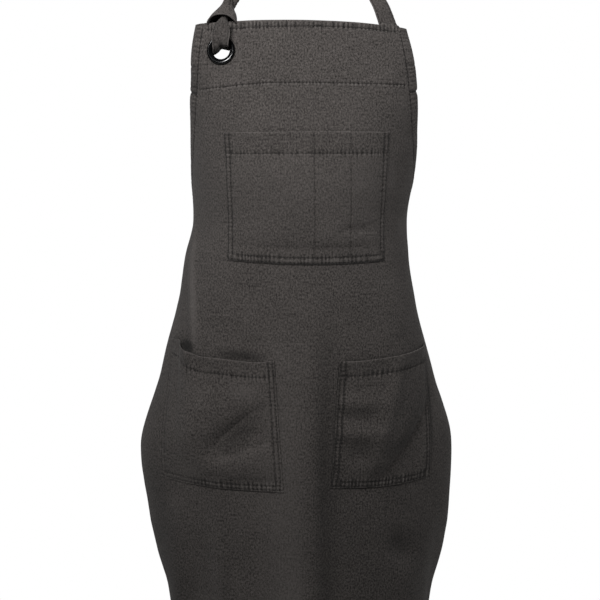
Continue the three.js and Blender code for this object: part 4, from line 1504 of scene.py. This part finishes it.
def black_metal():
    """Glossy black metal with faint handling marks."""
    material, w = new_material("Black eyelet metal")
    place = w.add("ShaderNodeTexCoord").outputs["Object"]
    marks = w.noise(place, 420.0, 4.0, 0.6)
    smear = w.noise(place, 60.0, 2.0)
    smeared = w.spread(smear, 0.3, 0.7, 0.0, 1.0)
    colour = w.mix(smeared, (0.0008, 0.0008, 0.001, 1), (0.0025, 0.0025, 0.0027, 1))
    rough = w.plus(w.spread(marks, 0.35, 0.75, 0.1, 0.18), w.spread(smear, 0.3, 0.7, 0.0, 0.05))
    w.surface(
        {
            "Base Color": colour,
            "Roughness": rough,
            "Normal": w.bump(marks, 0.04, 0.05),
            "Specular IOR Level": 0.35,
        }
    )
    return material


def pale_floor():
    material, w = new_material("Pale floor")
    cloudy = w.noise(w.add("ShaderNodeTexCoord").outputs["Object"], 1.5, 3.0)
    w.surface(
        {
            "Base Color": w.mix(cloudy, (0.78, 0.78, 0.77, 1), (0.86, 0.86, 0.85, 1)),
            "Roughness": 0.8,
        }
    )
    return material


# What a user would change


def colour_of(name, description, default):
    return FloatVectorProperty(
        name=name, description=description, subtype="COLOR", size=3, default=default, min=0, max=1
    )


def length_of(name, description, default, low, high):
    return FloatProperty(
        name=name, description=description, unit="LENGTH", default=default, min=low, max=high
    )


def power_of(name, description, default):
    return FloatProperty(name=name, description=description, unit="POWER", default=default, min=0)


def factor_of(name, description, default, high):
    return FloatProperty(
        name=name, description=description, subtype="FACTOR", default=default, min=0, max=high
    )


class ApronCloth(bpy.types.PropertyGroup):
    """Colours and yarn of the denim."""

    warp_colour: colour_of("Warp", "Colour of the yarns that run down the cloth", (0.0564, 0.0506, 0.0476))
    weft_colour: colour_of("Weft", "Colour of the yarns that run across the cloth", (0.095, 0.086, 0.081))
    # the rubbed colour also serves the painted highlights
    rubbed_and_lit_colour: colour_of("Rubbed and lit", "Colour of seams and edges that are worn pale", (0.115, 0.105, 0.1))
    thread_colour: colour_of("Thread", "Colour of the sewing thread", (0.034, 0.031, 0.03))
    yarn_pitch: length_of("Yarn pitch", "Distance from one yarn to the next", 0.0006, 0.0002, 0.003)
    slub: factor_of("Slub", "How uneven the yarns are", 0.3, 1)


class ApronMaking(bpy.types.PropertyGroup):
    """Sizes of the stitching."""

    stitch_pitch: length_of("Stitch pitch", "Distance from one stitch to the next", 0.0038, 0.001, 0.01)
    stitch_length: length_of("Stitch length", "Length of thread that shows", 0.0029, 0.0005, 0.01)
    thread_radius: length_of("Thread radius", "Half the thickness of the thread", 0.00032, 0.0001, 0.001)
    groove_depth: length_of(
        "Groove depth", "How far a row of stitches pulls into the cloth", 0.00055, 0, 0.002
    )
    pucker_pitch: length_of("Pucker pitch", "Distance between the ripples along a seam", 0.0052, 0.002, 0.02)
    pucker_height: length_of("Pucker height", "Height of the ripples along a seam", 0.0007, 0, 0.002)


class ApronStage(bpy.types.PropertyGroup):
    """Floor and light around the apron."""

    floor_drop: length_of("Floor drop", "How far the floor lies below the nape", 1.45, 1.05, 3)
    key_power: power_of("Key light", "Power of the light at the upper left", 13.5)
    fill_power: power_of("Fill light", "Power of the light at the right", 5)
    back_power: power_of("Back light", "Power of the light behind", 30)
    side_power: power_of("Side lights", "Power of the light at each side", 3)
    glint_power: power_of("Glint light", "Power of the small light that the eyelet mirrors", 4)
    surround: factor_of("Surround", "Strength of the even light from all round", 0.03, 2)


# Operators


STRAP_TONE = 0.97


def sew(name, rows, values, node):
    """One piece of all the stitches in some rows."""
    cloth, making = values
    return add_piece(name, stitch_parts(rows, making), thread(cloth), node)


def add_ribbon(names, stations, step, values, node, look=()):
    """A ribbon through stations and its stitches."""
    cloth, making = values
    part, rows, length = ribbon_part(stations, step, making, *look)
    ribbon = add_piece(names[0], [part], denim("Strap denim", cloth, STRAP_TONE), node)
    stitches = sew(names[1], rows, values, node)


class ApronOperator:
    """What the operators of the apron share."""

    bl_options = {"REGISTER", "UNDO"}

    def values(self, context):
        return context.scene.apron_cloth, context.scene.apron_making


class APRON_OT_panel(ApronOperator, bpy.types.Operator):
    """Cut the panel, turn its hems and sew them"""

    bl_idname = "apron.panel"
    bl_label = "Sew the panel"

    def execute(self, context):
        values = cloth, making = self.values(context)
        material = denim("Panel denim", cloth)
        panel = add_piece("apron_cloth", [panel_part()], material, "apron_panel")
        hems, rows = [], []

        def add_row(u, v):
            points, normals = cloth_at(u, v)
            rows.append((points - normals * STITCH_SINK, normals))

        first, step = HEM_SEEDS
        for k, (edge, inward, depth, drawn_up, spacing) in enumerate(hem_edges()):
            edge, inward = even_along(edge, inward, spacing)
            hems.append(hem_part(edge, inward, depth, drawn_up, making, first + step * k))
            sewn = edge + inward * depth
            limit = hem_line(sewn[:, 1])
            add_row(np.clip(sewn[:, 0], -limit, limit), sewn[:, 1])
        hems.append(facing_row_part(making))
        facing_u = np.linspace(-1, 1, 400) * (hem_line(FACING_DEPTH) - FACING_STITCH_GAP)
        add_row(facing_u, facing_row(facing_u))
        hem = add_piece("apron_hems", hems, material, "apron_panel")
        stitches = sew("apron_stitches", rows, values, "apron_panel")
        drops = np.linspace(0, APRON_LENGTH, 1701)
        area = 2 * cut_half_width(drops).mean() * APRON_LENGTH * MM**2
        return {"FINISHED"}


FACING_MESH = (3, 110)  # step down and places across
FACING_BACK_RIPPLES = (0.3, 6.0, 4)  # height, pitch, and spread beside the stitches
FACING_ROUNDING = 0.8
FACING_STITCH_SINK = 0.2


class APRON_OT_facing(ApronOperator, bpy.types.Operator):
    """Line the top of the bib with its facing"""

    bl_idname = "apron.facing"
    bl_label = "Sew the facing"

    def execute(self, context):
        values = cloth, making = self.values(context)
        step, places = FACING_MESH
        v = graded(FACING_TOP, FACING_DEPTH + FACING_TURN, step, (FACING_DEPTH,))
        line = hem_line(v)[:, None] - FACING_INSET
        shares = np.linspace(-1, 1, places)
        u = line * shares[None]
        v = np.repeat(v[:, None], len(shares), axis=1)
        v = v + (facing_row(u) - FACING_DEPTH) * np.clip(v / FACING_DEPTH, 0, 1)
        from_row = v - facing_row(u)
        edge = np.minimum.reduce([line - np.abs(u), facing_row(u) + FACING_TURN - v, v - FACING_TOP])
        points, normals = cloth_at(u, v)
        height, pitch, spread = FACING_BACK_RIPPLES
        ripple = height * puckers(u, pitch, FACING_BACK_SEED) * bump_at(from_row, spread)
        relief = groove(from_row, making) + ripple
        middle = -(CLOTH + SEAM_GAP + CLOTH / 2)
        thickness = CLOTH * rounded(edge, FACING_ROUNDING)
        front = lifted(points, normals, middle + thickness / 2)
        back = lifted(points, normals, middle - thickness / 2 - relief)
        plain = np.zeros_like(u)
        part = with_eyelet_hole(cloth_part(front, back, u, v, plain, plain))
        facing = add_piece("bib_facing_cloth", [part], denim("Panel denim", cloth), "bib_facing")
        row_u = np.linspace(-1, 1, 300) * (hem_line(FACING_DEPTH) - FACING_ROW_GAP)
        points, normals = cloth_at(row_u, facing_row(row_u))
        rows = [(points + normals * (middle - CLOTH / 2 + FACING_STITCH_SINK), -normals)]
        stitches = sew("bib_facing_stitches", rows, values, "bib_facing")
        return {"FINISHED"}


class APRON_OT_pockets(ApronOperator, bpy.types.Operator):
    """Sew the chest pocket and the hip pockets onto the panel"""

    bl_idname = "apron.pockets"
    bl_label = "Sew the pockets"

    def execute(self, context):
        values = cloth, making = self.values(context)
        first, step = POCKET_SEEDS
        for k, pocket in enumerate(POCKETS):
            name, seed = pocket["name"], first + step * k
            front, back, _, u, v, wear_and_shade = pocket_skins(pocket, *pocket_grid(pocket), making, seed)
            part = cloth_part(front, back, u, v, wear_and_shade, wear_and_shade)
            piece = add_piece(f"{name}_cloth", [part], denim("Pocket denim", cloth), name)
            rows = pocket_rows(pocket, making, seed)
            stitches = sew(f"{name}_stitches", rows, values, name)
        return {"FINISHED"}


def looped_quads(rings, places):
    """Faces of a skin that closes both round its rings and from the last ring to the first."""
    index = np.arange(rings * places).reshape(rings, places)
    index = np.concatenate([index, index[:1]], axis=0)
    return grid_quads(np.concatenate([index, index[:, :1]], axis=1))


EYELET_SIDES = 128


def turned(profile):
    """A closed profile of radius and height turned round the eyelet's axis."""
    aside = unit(np.cross(EYELET_NORMAL, (0, 0, 1)))
    upward = np.cross(aside, EYELET_NORMAL)
    turn = np.arange(EYELET_SIDES) * 2 * np.pi / EYELET_SIDES
    profile = np.array(profile)
    spoke = np.cos(turn)[:, None] * aside + np.sin(turn)[:, None] * upward
    rings = EYELET_CENTRE + spoke[:, None] * profile[None, :, :1] + EYELET_NORMAL * profile[None, :, 1:]
    points = rings.reshape(-1, 3)
    return points, looped_quads(EYELET_SIDES, len(profile)), np.zeros((len(points), 2)), 0.0


class APRON_OT_eyelet(ApronOperator, bpy.types.Operator):
    """Set the metal eyelet and its washer"""

    bl_idname = "apron.eyelet"
    bl_label = "Set the eyelet"

    def execute(self, context):
        metal = black_metal()
        back = -(2 * CLOTH + SEAM_GAP + EYELET_PAST)
        crest = EYELET_BORE + EYELET_CREST * (EYELET_FLANGE - EYELET_BORE)
        quarter = np.linspace(0, math.pi / 2, 15)
        outward, inward = EYELET_FLANGE - crest, crest - EYELET_BORE
        # Radius and height of each point: domed lip, bore, rolled end, barrel, underside of the flange
        lip = [(crest + outward * math.cos(t), EYELET_SEAT + EYELET_DOME * math.sin(t)) for t in quarter]
        lip += [(crest - inward * math.sin(t), EYELET_SEAT + EYELET_DOME * math.cos(t)) for t in quarter[1:]]
        inside = [(EYELET_BORE, h) for h in (-1.5, -3.0)]
        end = [(EYELET_BORE, back + 0.3), (EYELET_BORE + 0.2, back), (EYELET_BARREL - 0.2, back)]
        barrel = [(EYELET_BARREL, h) for h in (back + 0.4, -3.0, -1.5)]
        under = [(EYELET_BARREL, -0.3), (EYELET_BARREL + 0.1, 0.05), (EYELET_FLANGE - 0.3, 0.05)]
        ring = turned(lip + inside + end + barrel + under)
        flange = add_piece("eyelet_flange", [ring], metal, "eyelet_ring")
        bpy.data.collections["Eyelet metal"].objects.link(flange)
        top = -(2 * CLOTH + SEAM_GAP + EYELET_SEAT)
        inner, outer = EYELET_BARREL + 0.3, EYELET_FLANGE - 0.8
        crown = [
            (inner + (outer - inner) * (1 - math.cos(t)) / 2, top - 0.5 - 1.1 * math.sin(t) ** 0.7)
            for t in np.linspace(0, math.pi, 17)
        ]
        washer = turned(crown + [(outer - 0.1, top), (inner + 0.1, top)])
        add_piece("eyelet_back_washer", [washer], metal, "eyelet_washer")
        return {"FINISHED"}


# Crease of the strap in the hole
CREASE_AT = 0.5  # how far it lies aside of the strap's middle
CREASE_SPREAD = 2.4
CREASE_DEPTHS = ((1.0, 0, 7), (2.0, 12, 8))  # depth, distance past the hole, spread along the strap
CREASE_LINE = ((-4, 4), (12, 24), 1.3)  # where its painted dark line of shade starts and ends, and its width
# strength of the painted shade on the strap in the hole and along its crease
HOLE_PAINTED_SHADE = 1.3
HOLE_SHADE = 6.5
TONGUE_TONE = 0.3  # the strap past the hole is a little darker
TONGUE_START = (2, 10)


def hole_crease(to_hole):
    """Crease of the strap where it doubles up to pass through the eyelet, and painted shade on it in the hole
    and along the crease.
    """

    def crease(run, across):
        past = run - to_hole
        depth = sum(soft_line(past - place, depth, spread) for depth, place, spread in CREASE_DEPTHS)
        return depth * bump_at(across - CREASE_AT, CREASE_SPREAD)

    def tone(run, across):
        past = run - to_hole
        start, end, width = CREASE_LINE
        line = smooth_step(past, *start) * (1 - smooth_step(past, *end)) * bump_at(across - CREASE_AT, width)
        # painted shade in the hole and along the crease
        darkened = HOLE_PAINTED_SHADE * np.maximum(bump_at(past, HOLE_SHADE), line)
        return -darkened - TONGUE_TONE * smooth_step(past, *TONGUE_START)

    return crease, tone


KNOT_COLUMNS = 120
KNOT_SHARES = np.concatenate([[0, 0.008, 0.02, 0.04, 0.07], np.linspace(0.1, 1, 39)])
KNOT_FLAT = (26, 14)  # flat size up the knot, and its mean radius
KNOT_PLEAT_RISE = (0.15, 0.7)  # shares up the knot where its pleats start and are full
KNOT_LIP = (0.7, 0.05, 0.06)  # height of its thick lower edge, place and spread up the knot
KNOT_ROUNDING = 1.0
KNOT_RUB = (0.9, 2.2)  # tone and width of its rubbed edge


def knot_part():
    """The turn of strap that ties the knot: tight above, flared below, its front edge arched."""
    around = np.arange(KNOT_COLUMNS) * 2 * np.pi / KNOT_COLUMNS
    share = KNOT_SHARES[:, None]

    def squared(x):
        return np.sign(x) * np.abs(x) ** (2 / KNOT_SQUARENESS)

    ahead = np.cos(around)
    foot = KNOT_FOOT - KNOT_ARCH * np.maximum(ahead, 0) ** 1.4 + KNOT_SKIRT * np.maximum(-ahead, 0)
    top = KNOT_ROWS[0][0]
    v = foot[None] * (1 - share) + top * share
    centre_u, half_width, centre_off, half_depth = (through(KNOT_ROWS, k, v) for k in (1, 2, 3, 4))
    pleat = sum(
        height * np.cos(number * around[None] + start + twist * share)
        for height, number, start, twist in KNOT_PLEATS
    )
    pleat = pleat * smooth_step(share, *KNOT_PLEAT_RISE)
    height, place, spread = KNOT_LIP
    lip = soft_line(share - place, height, spread)
    from_edge = share * (foot.max() - top)
    thickness = STRAP_CLOTH * rounded(from_edge, KNOT_ROUNDING)

    def skin(shrink):
        return on_cloth(
            centre_u + (half_width - shrink) * squared(np.sin(around))[None],
            v,
            centre_off + (half_depth - shrink) * squared(ahead)[None],
        )

    depth = STRAP_CLOTH / 2 - pleat - lip
    outer, inner = skin(depth - thickness / 2), skin(depth + thickness / 2)
    rings = np.concatenate([outer, inner[::-1]], axis=0).transpose(1, 0, 2)
    up, radius = KNOT_FLAT
    both = np.concatenate([KNOT_SHARES, KNOT_SHARES[::-1]])
    flat = np.stack(np.meshgrid(both * up, around * radius), axis=-1).reshape(-1, 2)
    wear_and_shade = np.concatenate([soft_line(from_edge[:, 0], *KNOT_RUB), 0 * KNOT_SHARES])
    return rings.reshape(-1, 3), looped_quads(*rings.shape[:2]), flat, np.tile(wear_and_shade, KNOT_COLUMNS)


class APRON_OT_neck_strap(ApronOperator, bpy.types.Operator):
    """Sew the neck strap to the bib and knot it through the eyelet"""

    bl_idname = "apron.neck_strap"
    bl_label = "Tie the neck strap"

    def execute(self, context):
        values = cloth, _ = self.values(context)
        behind = -(2 * CLOTH + 2 * SEAM_GAP + STRAP_CLOTH / 2)
        nape = (np.array([0, STRAP_CLOTH / 2, 0]), np.array([0.0, 1, 0]), STRAP_WIDTH, 0)
        stations = [station(u, v, behind, "front", STRAP_WIDTH, SEWN_CURL) for u, v in STRAP_SEWN]
        stations += [neck_station(row, 1) for row in NECK_ROUTE]
        stations.append(nape)
        stations += [neck_station(row, -1) for row in NECK_ROUTE[:0:-1]]
        through_hole = len(stations) + HOLE_ROW
        stations += [station(*row) for row in EYELET_ROUTE]
        to_hole = run_along(np.array([s[0] for s in stations]))[through_hole]
        names, look = ("neck_strap_ribbon", "neck_strap_stitches"), hole_crease(to_hole)
        add_ribbon(names, stations, NECK_STEP, values, "neck_strap", look)
        material = denim("Strap denim", cloth, STRAP_TONE)
        add_piece("strap_knot_turn", [knot_part()], material, "strap_knot")
        names, stations = ("strap_knot_tail", "strap_knot_stitches"), [station(*row) for row in KNOT_TAIL]
        add_ribbon(names, stations, TAIL_STEP, values, "strap_knot")
        return {"FINISHED"}


TIE_STATIONS = 24
TAIL_STATIONS = 9
SIDES = ((-1, "left"), (1, "right"))


class APRON_OT_waist_ties(ApronOperator, bpy.types.Operator):
    """Sew the waist ties to the side corners and knot them behind"""

    bl_idname = "apron.waist_ties"
    bl_label = "Tie the waist"

    def execute(self, context):
        values = self.values(context)
        for side, word in SIDES:
            name = f"waist_tie_{word}"
            start = cut_half_width(TIE_DROP) - TIE_OVERLAP
            places = np.linspace(start, ARC_REACH, 400)
            at = form_points(side * places, np.full(400, float(TIE_DROP)))
            reach = places[np.argmax(side * at[:, 0] < TIE_KNOT[0] - TIE_TUCK)]
            u = side * np.linspace(start, reach, TIE_STATIONS)
            v = np.full(TIE_STATIONS, float(TIE_DROP))
            points, normals = form_points(u, v), normals_of(form_points, u, v)
            middles = points + normals * (TIE_OFF - STRAP_CLOTH / 2)
            stations = [(m, n, STRAP_WIDTH, 0) for m, n in zip(middles, normals)]
            names = (f"{name}_ribbon", f"{name}_stitches")
            add_ribbon(names, stations, TIE_STEP, values, name)
        self.back_knot(values)
        return {"FINISHED"}

    def back_knot(self, values):
        half_width, half_depth, half_height = TIE_KNOT
        knot_y = PLAN_AXIS_Y + float(through(LEVELS, 3, TIE_DROP)) + TIE_OFF
        knot_z = BIB_TOP_Z - TIE_DROP
        rings, sides, pole = TIE_KNOT_MESH
        polar = np.linspace(pole, np.pi - pole, rings)[:, None]
        turn = (np.arange(sides) * 2 * np.pi / sides)[None]
        wrap = 0.07 * np.cos(2 * (turn + 1.2 * polar)) + 0.03 * np.cos(9 * turn + 3 * polar)
        size = 0.94 + wrap * np.sin(polar) ** 2
        lump = np.stack(
            [
                half_width * size * np.sin(polar) * np.cos(turn),
                knot_y + half_depth * size * np.sin(polar) * np.sin(turn),
                knot_z + half_height * size * np.cos(polar) * np.ones_like(turn),
            ],
            axis=-1,
        )
        points, quads = tube(lump)
        around, down = TIE_KNOT_FLAT
        flat = np.stack(np.broadcast_arrays(turn * around, polar * down), axis=-1).reshape(-1, 2)
        material = denim("Strap denim", values[0], STRAP_TONE)
        lump_part = (points, quads, flat, TIE_KNOT_TONE)
        add_piece("waist_knot_turn", [lump_part], material, "waist_tie_knot")
        for side, word in SIDES:
            stations = []
            for s in np.linspace(0, 1, TAIL_STATIONS):
                place = (
                    side * (half_width / 3 + TIE_TAIL_SPLAY * s),
                    knot_y + TIE_TAIL_SWAY * math.sin(2 * math.pi * s) + side,
                    knot_z - half_height / 2 - TIE_TAIL_LENGTH * s,
                )
                width = half_width / 2 + (TIE_TAIL_WIDTH - half_width / 2) * min(1, 2 * s)
                look = unit(np.array([0.25 * side * math.sin(5 * s), 1, 0]))
                stations.append((np.array(place), look, width, TIE_TAIL_CURL * (1 - s) ** 2))
            names = (f"waist_tail_{word}", f"waist_tail_{word}_stitches")
            add_ribbon(names, stations, FREE_END_STEP, values, "waist_tie_knot")


# Soft lights: name, place, target, size, the power they take and their share of it
SOFT_LIGHTS = (
    ("Key light", (-0.4, -0.9, 0.42), (0, -0.15, -0.3), 0.4, "key_power", 1),
    ("Fill light", (0.4, -0.9, 0.42), (0, -0.15, -0.3), 0.4, "fill_power", 1),
    ("Back light", (0.5, 1.7, 0.6), (0, 0, -0.5), 1.2, "back_power", 1),
    ("Left side light", (-1.5, 0.1, -0.3), (0, -0.1, -0.45), 1.0, "side_power", 1),
    ("Right side light", (1.3, -0.1, 0.1), (0, -0.1, -0.3), 0.8, "side_power", 1.35),
)
GLINT_PLACE = (-0.51, -0.896, 0.245)
GLINT_SIZE = 0.16
FLOOR_CORNERS = ((-2.2, -2.6), (2.2, -2.6), (2.2, 1.7), (-2.2, 1.7))
SENSOR_WIDTH = 36
FAR_END = 50


def aim(thing, place, target):
    thing.location = place
    thing.rotation_euler = (Vector(target) - Vector(place)).to_track_quat("-Z", "Y").to_euler()
    bpy.context.scene.collection.objects.link(thing)


def area_light(name, place, target, size, power):
    light = bpy.data.lights.new(name, "AREA")
    light.shape = "DISK"
    light.size = size
    light.energy = power
    lamp = bpy.data.objects.new(name, light)
    aim(lamp, place, target)
    return lamp


class APRON_OT_stage(bpy.types.Operator):
    """Set the floor, the lights and the camera"""

    bl_idname = "apron.stage"
    bl_label = "Set the stage"

    def execute(self, context):
        scene, stage = context.scene, context.scene.apron_stage
        camera = bpy.data.cameras.new("Picture camera")
        camera.lens = LENS
        camera.sensor_width = SENSOR_WIDTH
        camera.clip_end = FAR_END
        eye = bpy.data.objects.new("Picture camera", camera)
        aim(eye, [c * MM for c in EYE], [c * MM for c in LOOK_AT])
        scene.camera = eye
        for name, place, target, size, power, share in SOFT_LIGHTS:
            lamp = area_light(name, place, target, size, share * getattr(stage, power))
            lamp.visible_glossy = False
        ring_middle = [c * MM for c in EYELET_CENTRE]
        glint = area_light("Glint light", GLINT_PLACE, ring_middle, GLINT_SIZE, stage.glint_power)
        glint.light_linking.receiver_collection = bpy.data.collections.new("Eyelet metal")
        floor_mesh = bpy.data.meshes.new("Floor")
        corners = [(x, y, -stage.floor_drop) for x, y in FLOOR_CORNERS]
        floor_mesh.from_pydata(corners, [], [(0, 1, 2, 3)])
        floor_mesh.materials.append(pale_floor())
        floor = bpy.data.objects.new("Floor", floor_mesh)
        scene.collection.objects.link(floor)
        world = bpy.data.worlds.new("White studio")
        world.use_nodes = True
        world.node_tree.nodes.clear()
        w = Wiring(world.node_tree)
        seen = w.add("ShaderNodeLightPath").outputs["Is Camera Ray"]
        strength = w.spread(seen, 0.0, 1.0, stage.surround, 1.0)
        light = w.add("ShaderNodeBackground", {"Color": (1, 1, 1, 1), "Strength": strength})
        w.add("ShaderNodeOutputWorld", {0: light.outputs[0]})
        scene.world = world
        scene.view_settings.view_transform = "Standard"
        return {"FINISHED"}


class APRON_PT_sidebar(bpy.types.Panel):
    """The apron's values and the steps that sew it"""

    bl_label = "Denim apron"
    bl_idname = "APRON_PT_sidebar"
    bl_space_type = "VIEW_3D"
    bl_region_type = "UI"
    bl_category = "Apron"

    def draw(self, context):
        for group in (context.scene.apron_cloth, context.scene.apron_making, context.scene.apron_stage):
            box = self.layout.box()
            for key in group.__annotations__:
                box.prop(group, key)
        for operator in OPERATORS:
            self.layout.operator(operator.bl_idname)


OPERATORS = (
    APRON_OT_stage,
    APRON_OT_panel,
    APRON_OT_facing,
    APRON_OT_pockets,
    APRON_OT_eyelet,
    APRON_OT_neck_strap,
    APRON_OT_waist_ties,
)
CLASSES = (ApronCloth, ApronMaking, ApronStage, *OPERATORS, APRON_PT_sidebar)
SETTINGS = (("apron_cloth", ApronCloth), ("apron_making", ApronMaking), ("apron_stage", ApronStage))


def register():
    for cls in CLASSES:
        bpy.utils.register_class(cls)
    for name, group in SETTINGS:
        setattr(bpy.types.Scene, name, PointerProperty(type=group))


def unregister():
    for name, _ in SETTINGS:
        delattr(bpy.types.Scene, name)
    for cls in reversed(CLASSES):
        bpy.utils.unregister_class(cls)


def main():
    register()
    bpy.ops.apron.stage()
    bpy.ops.apron.panel()
    bpy.ops.apron.facing()
    bpy.ops.apron.pockets()
    bpy.ops.apron.eyelet()
    bpy.ops.apron.neck_strap()
    bpy.ops.apron.waist_ties()


if __name__ == "__main__":
    main()
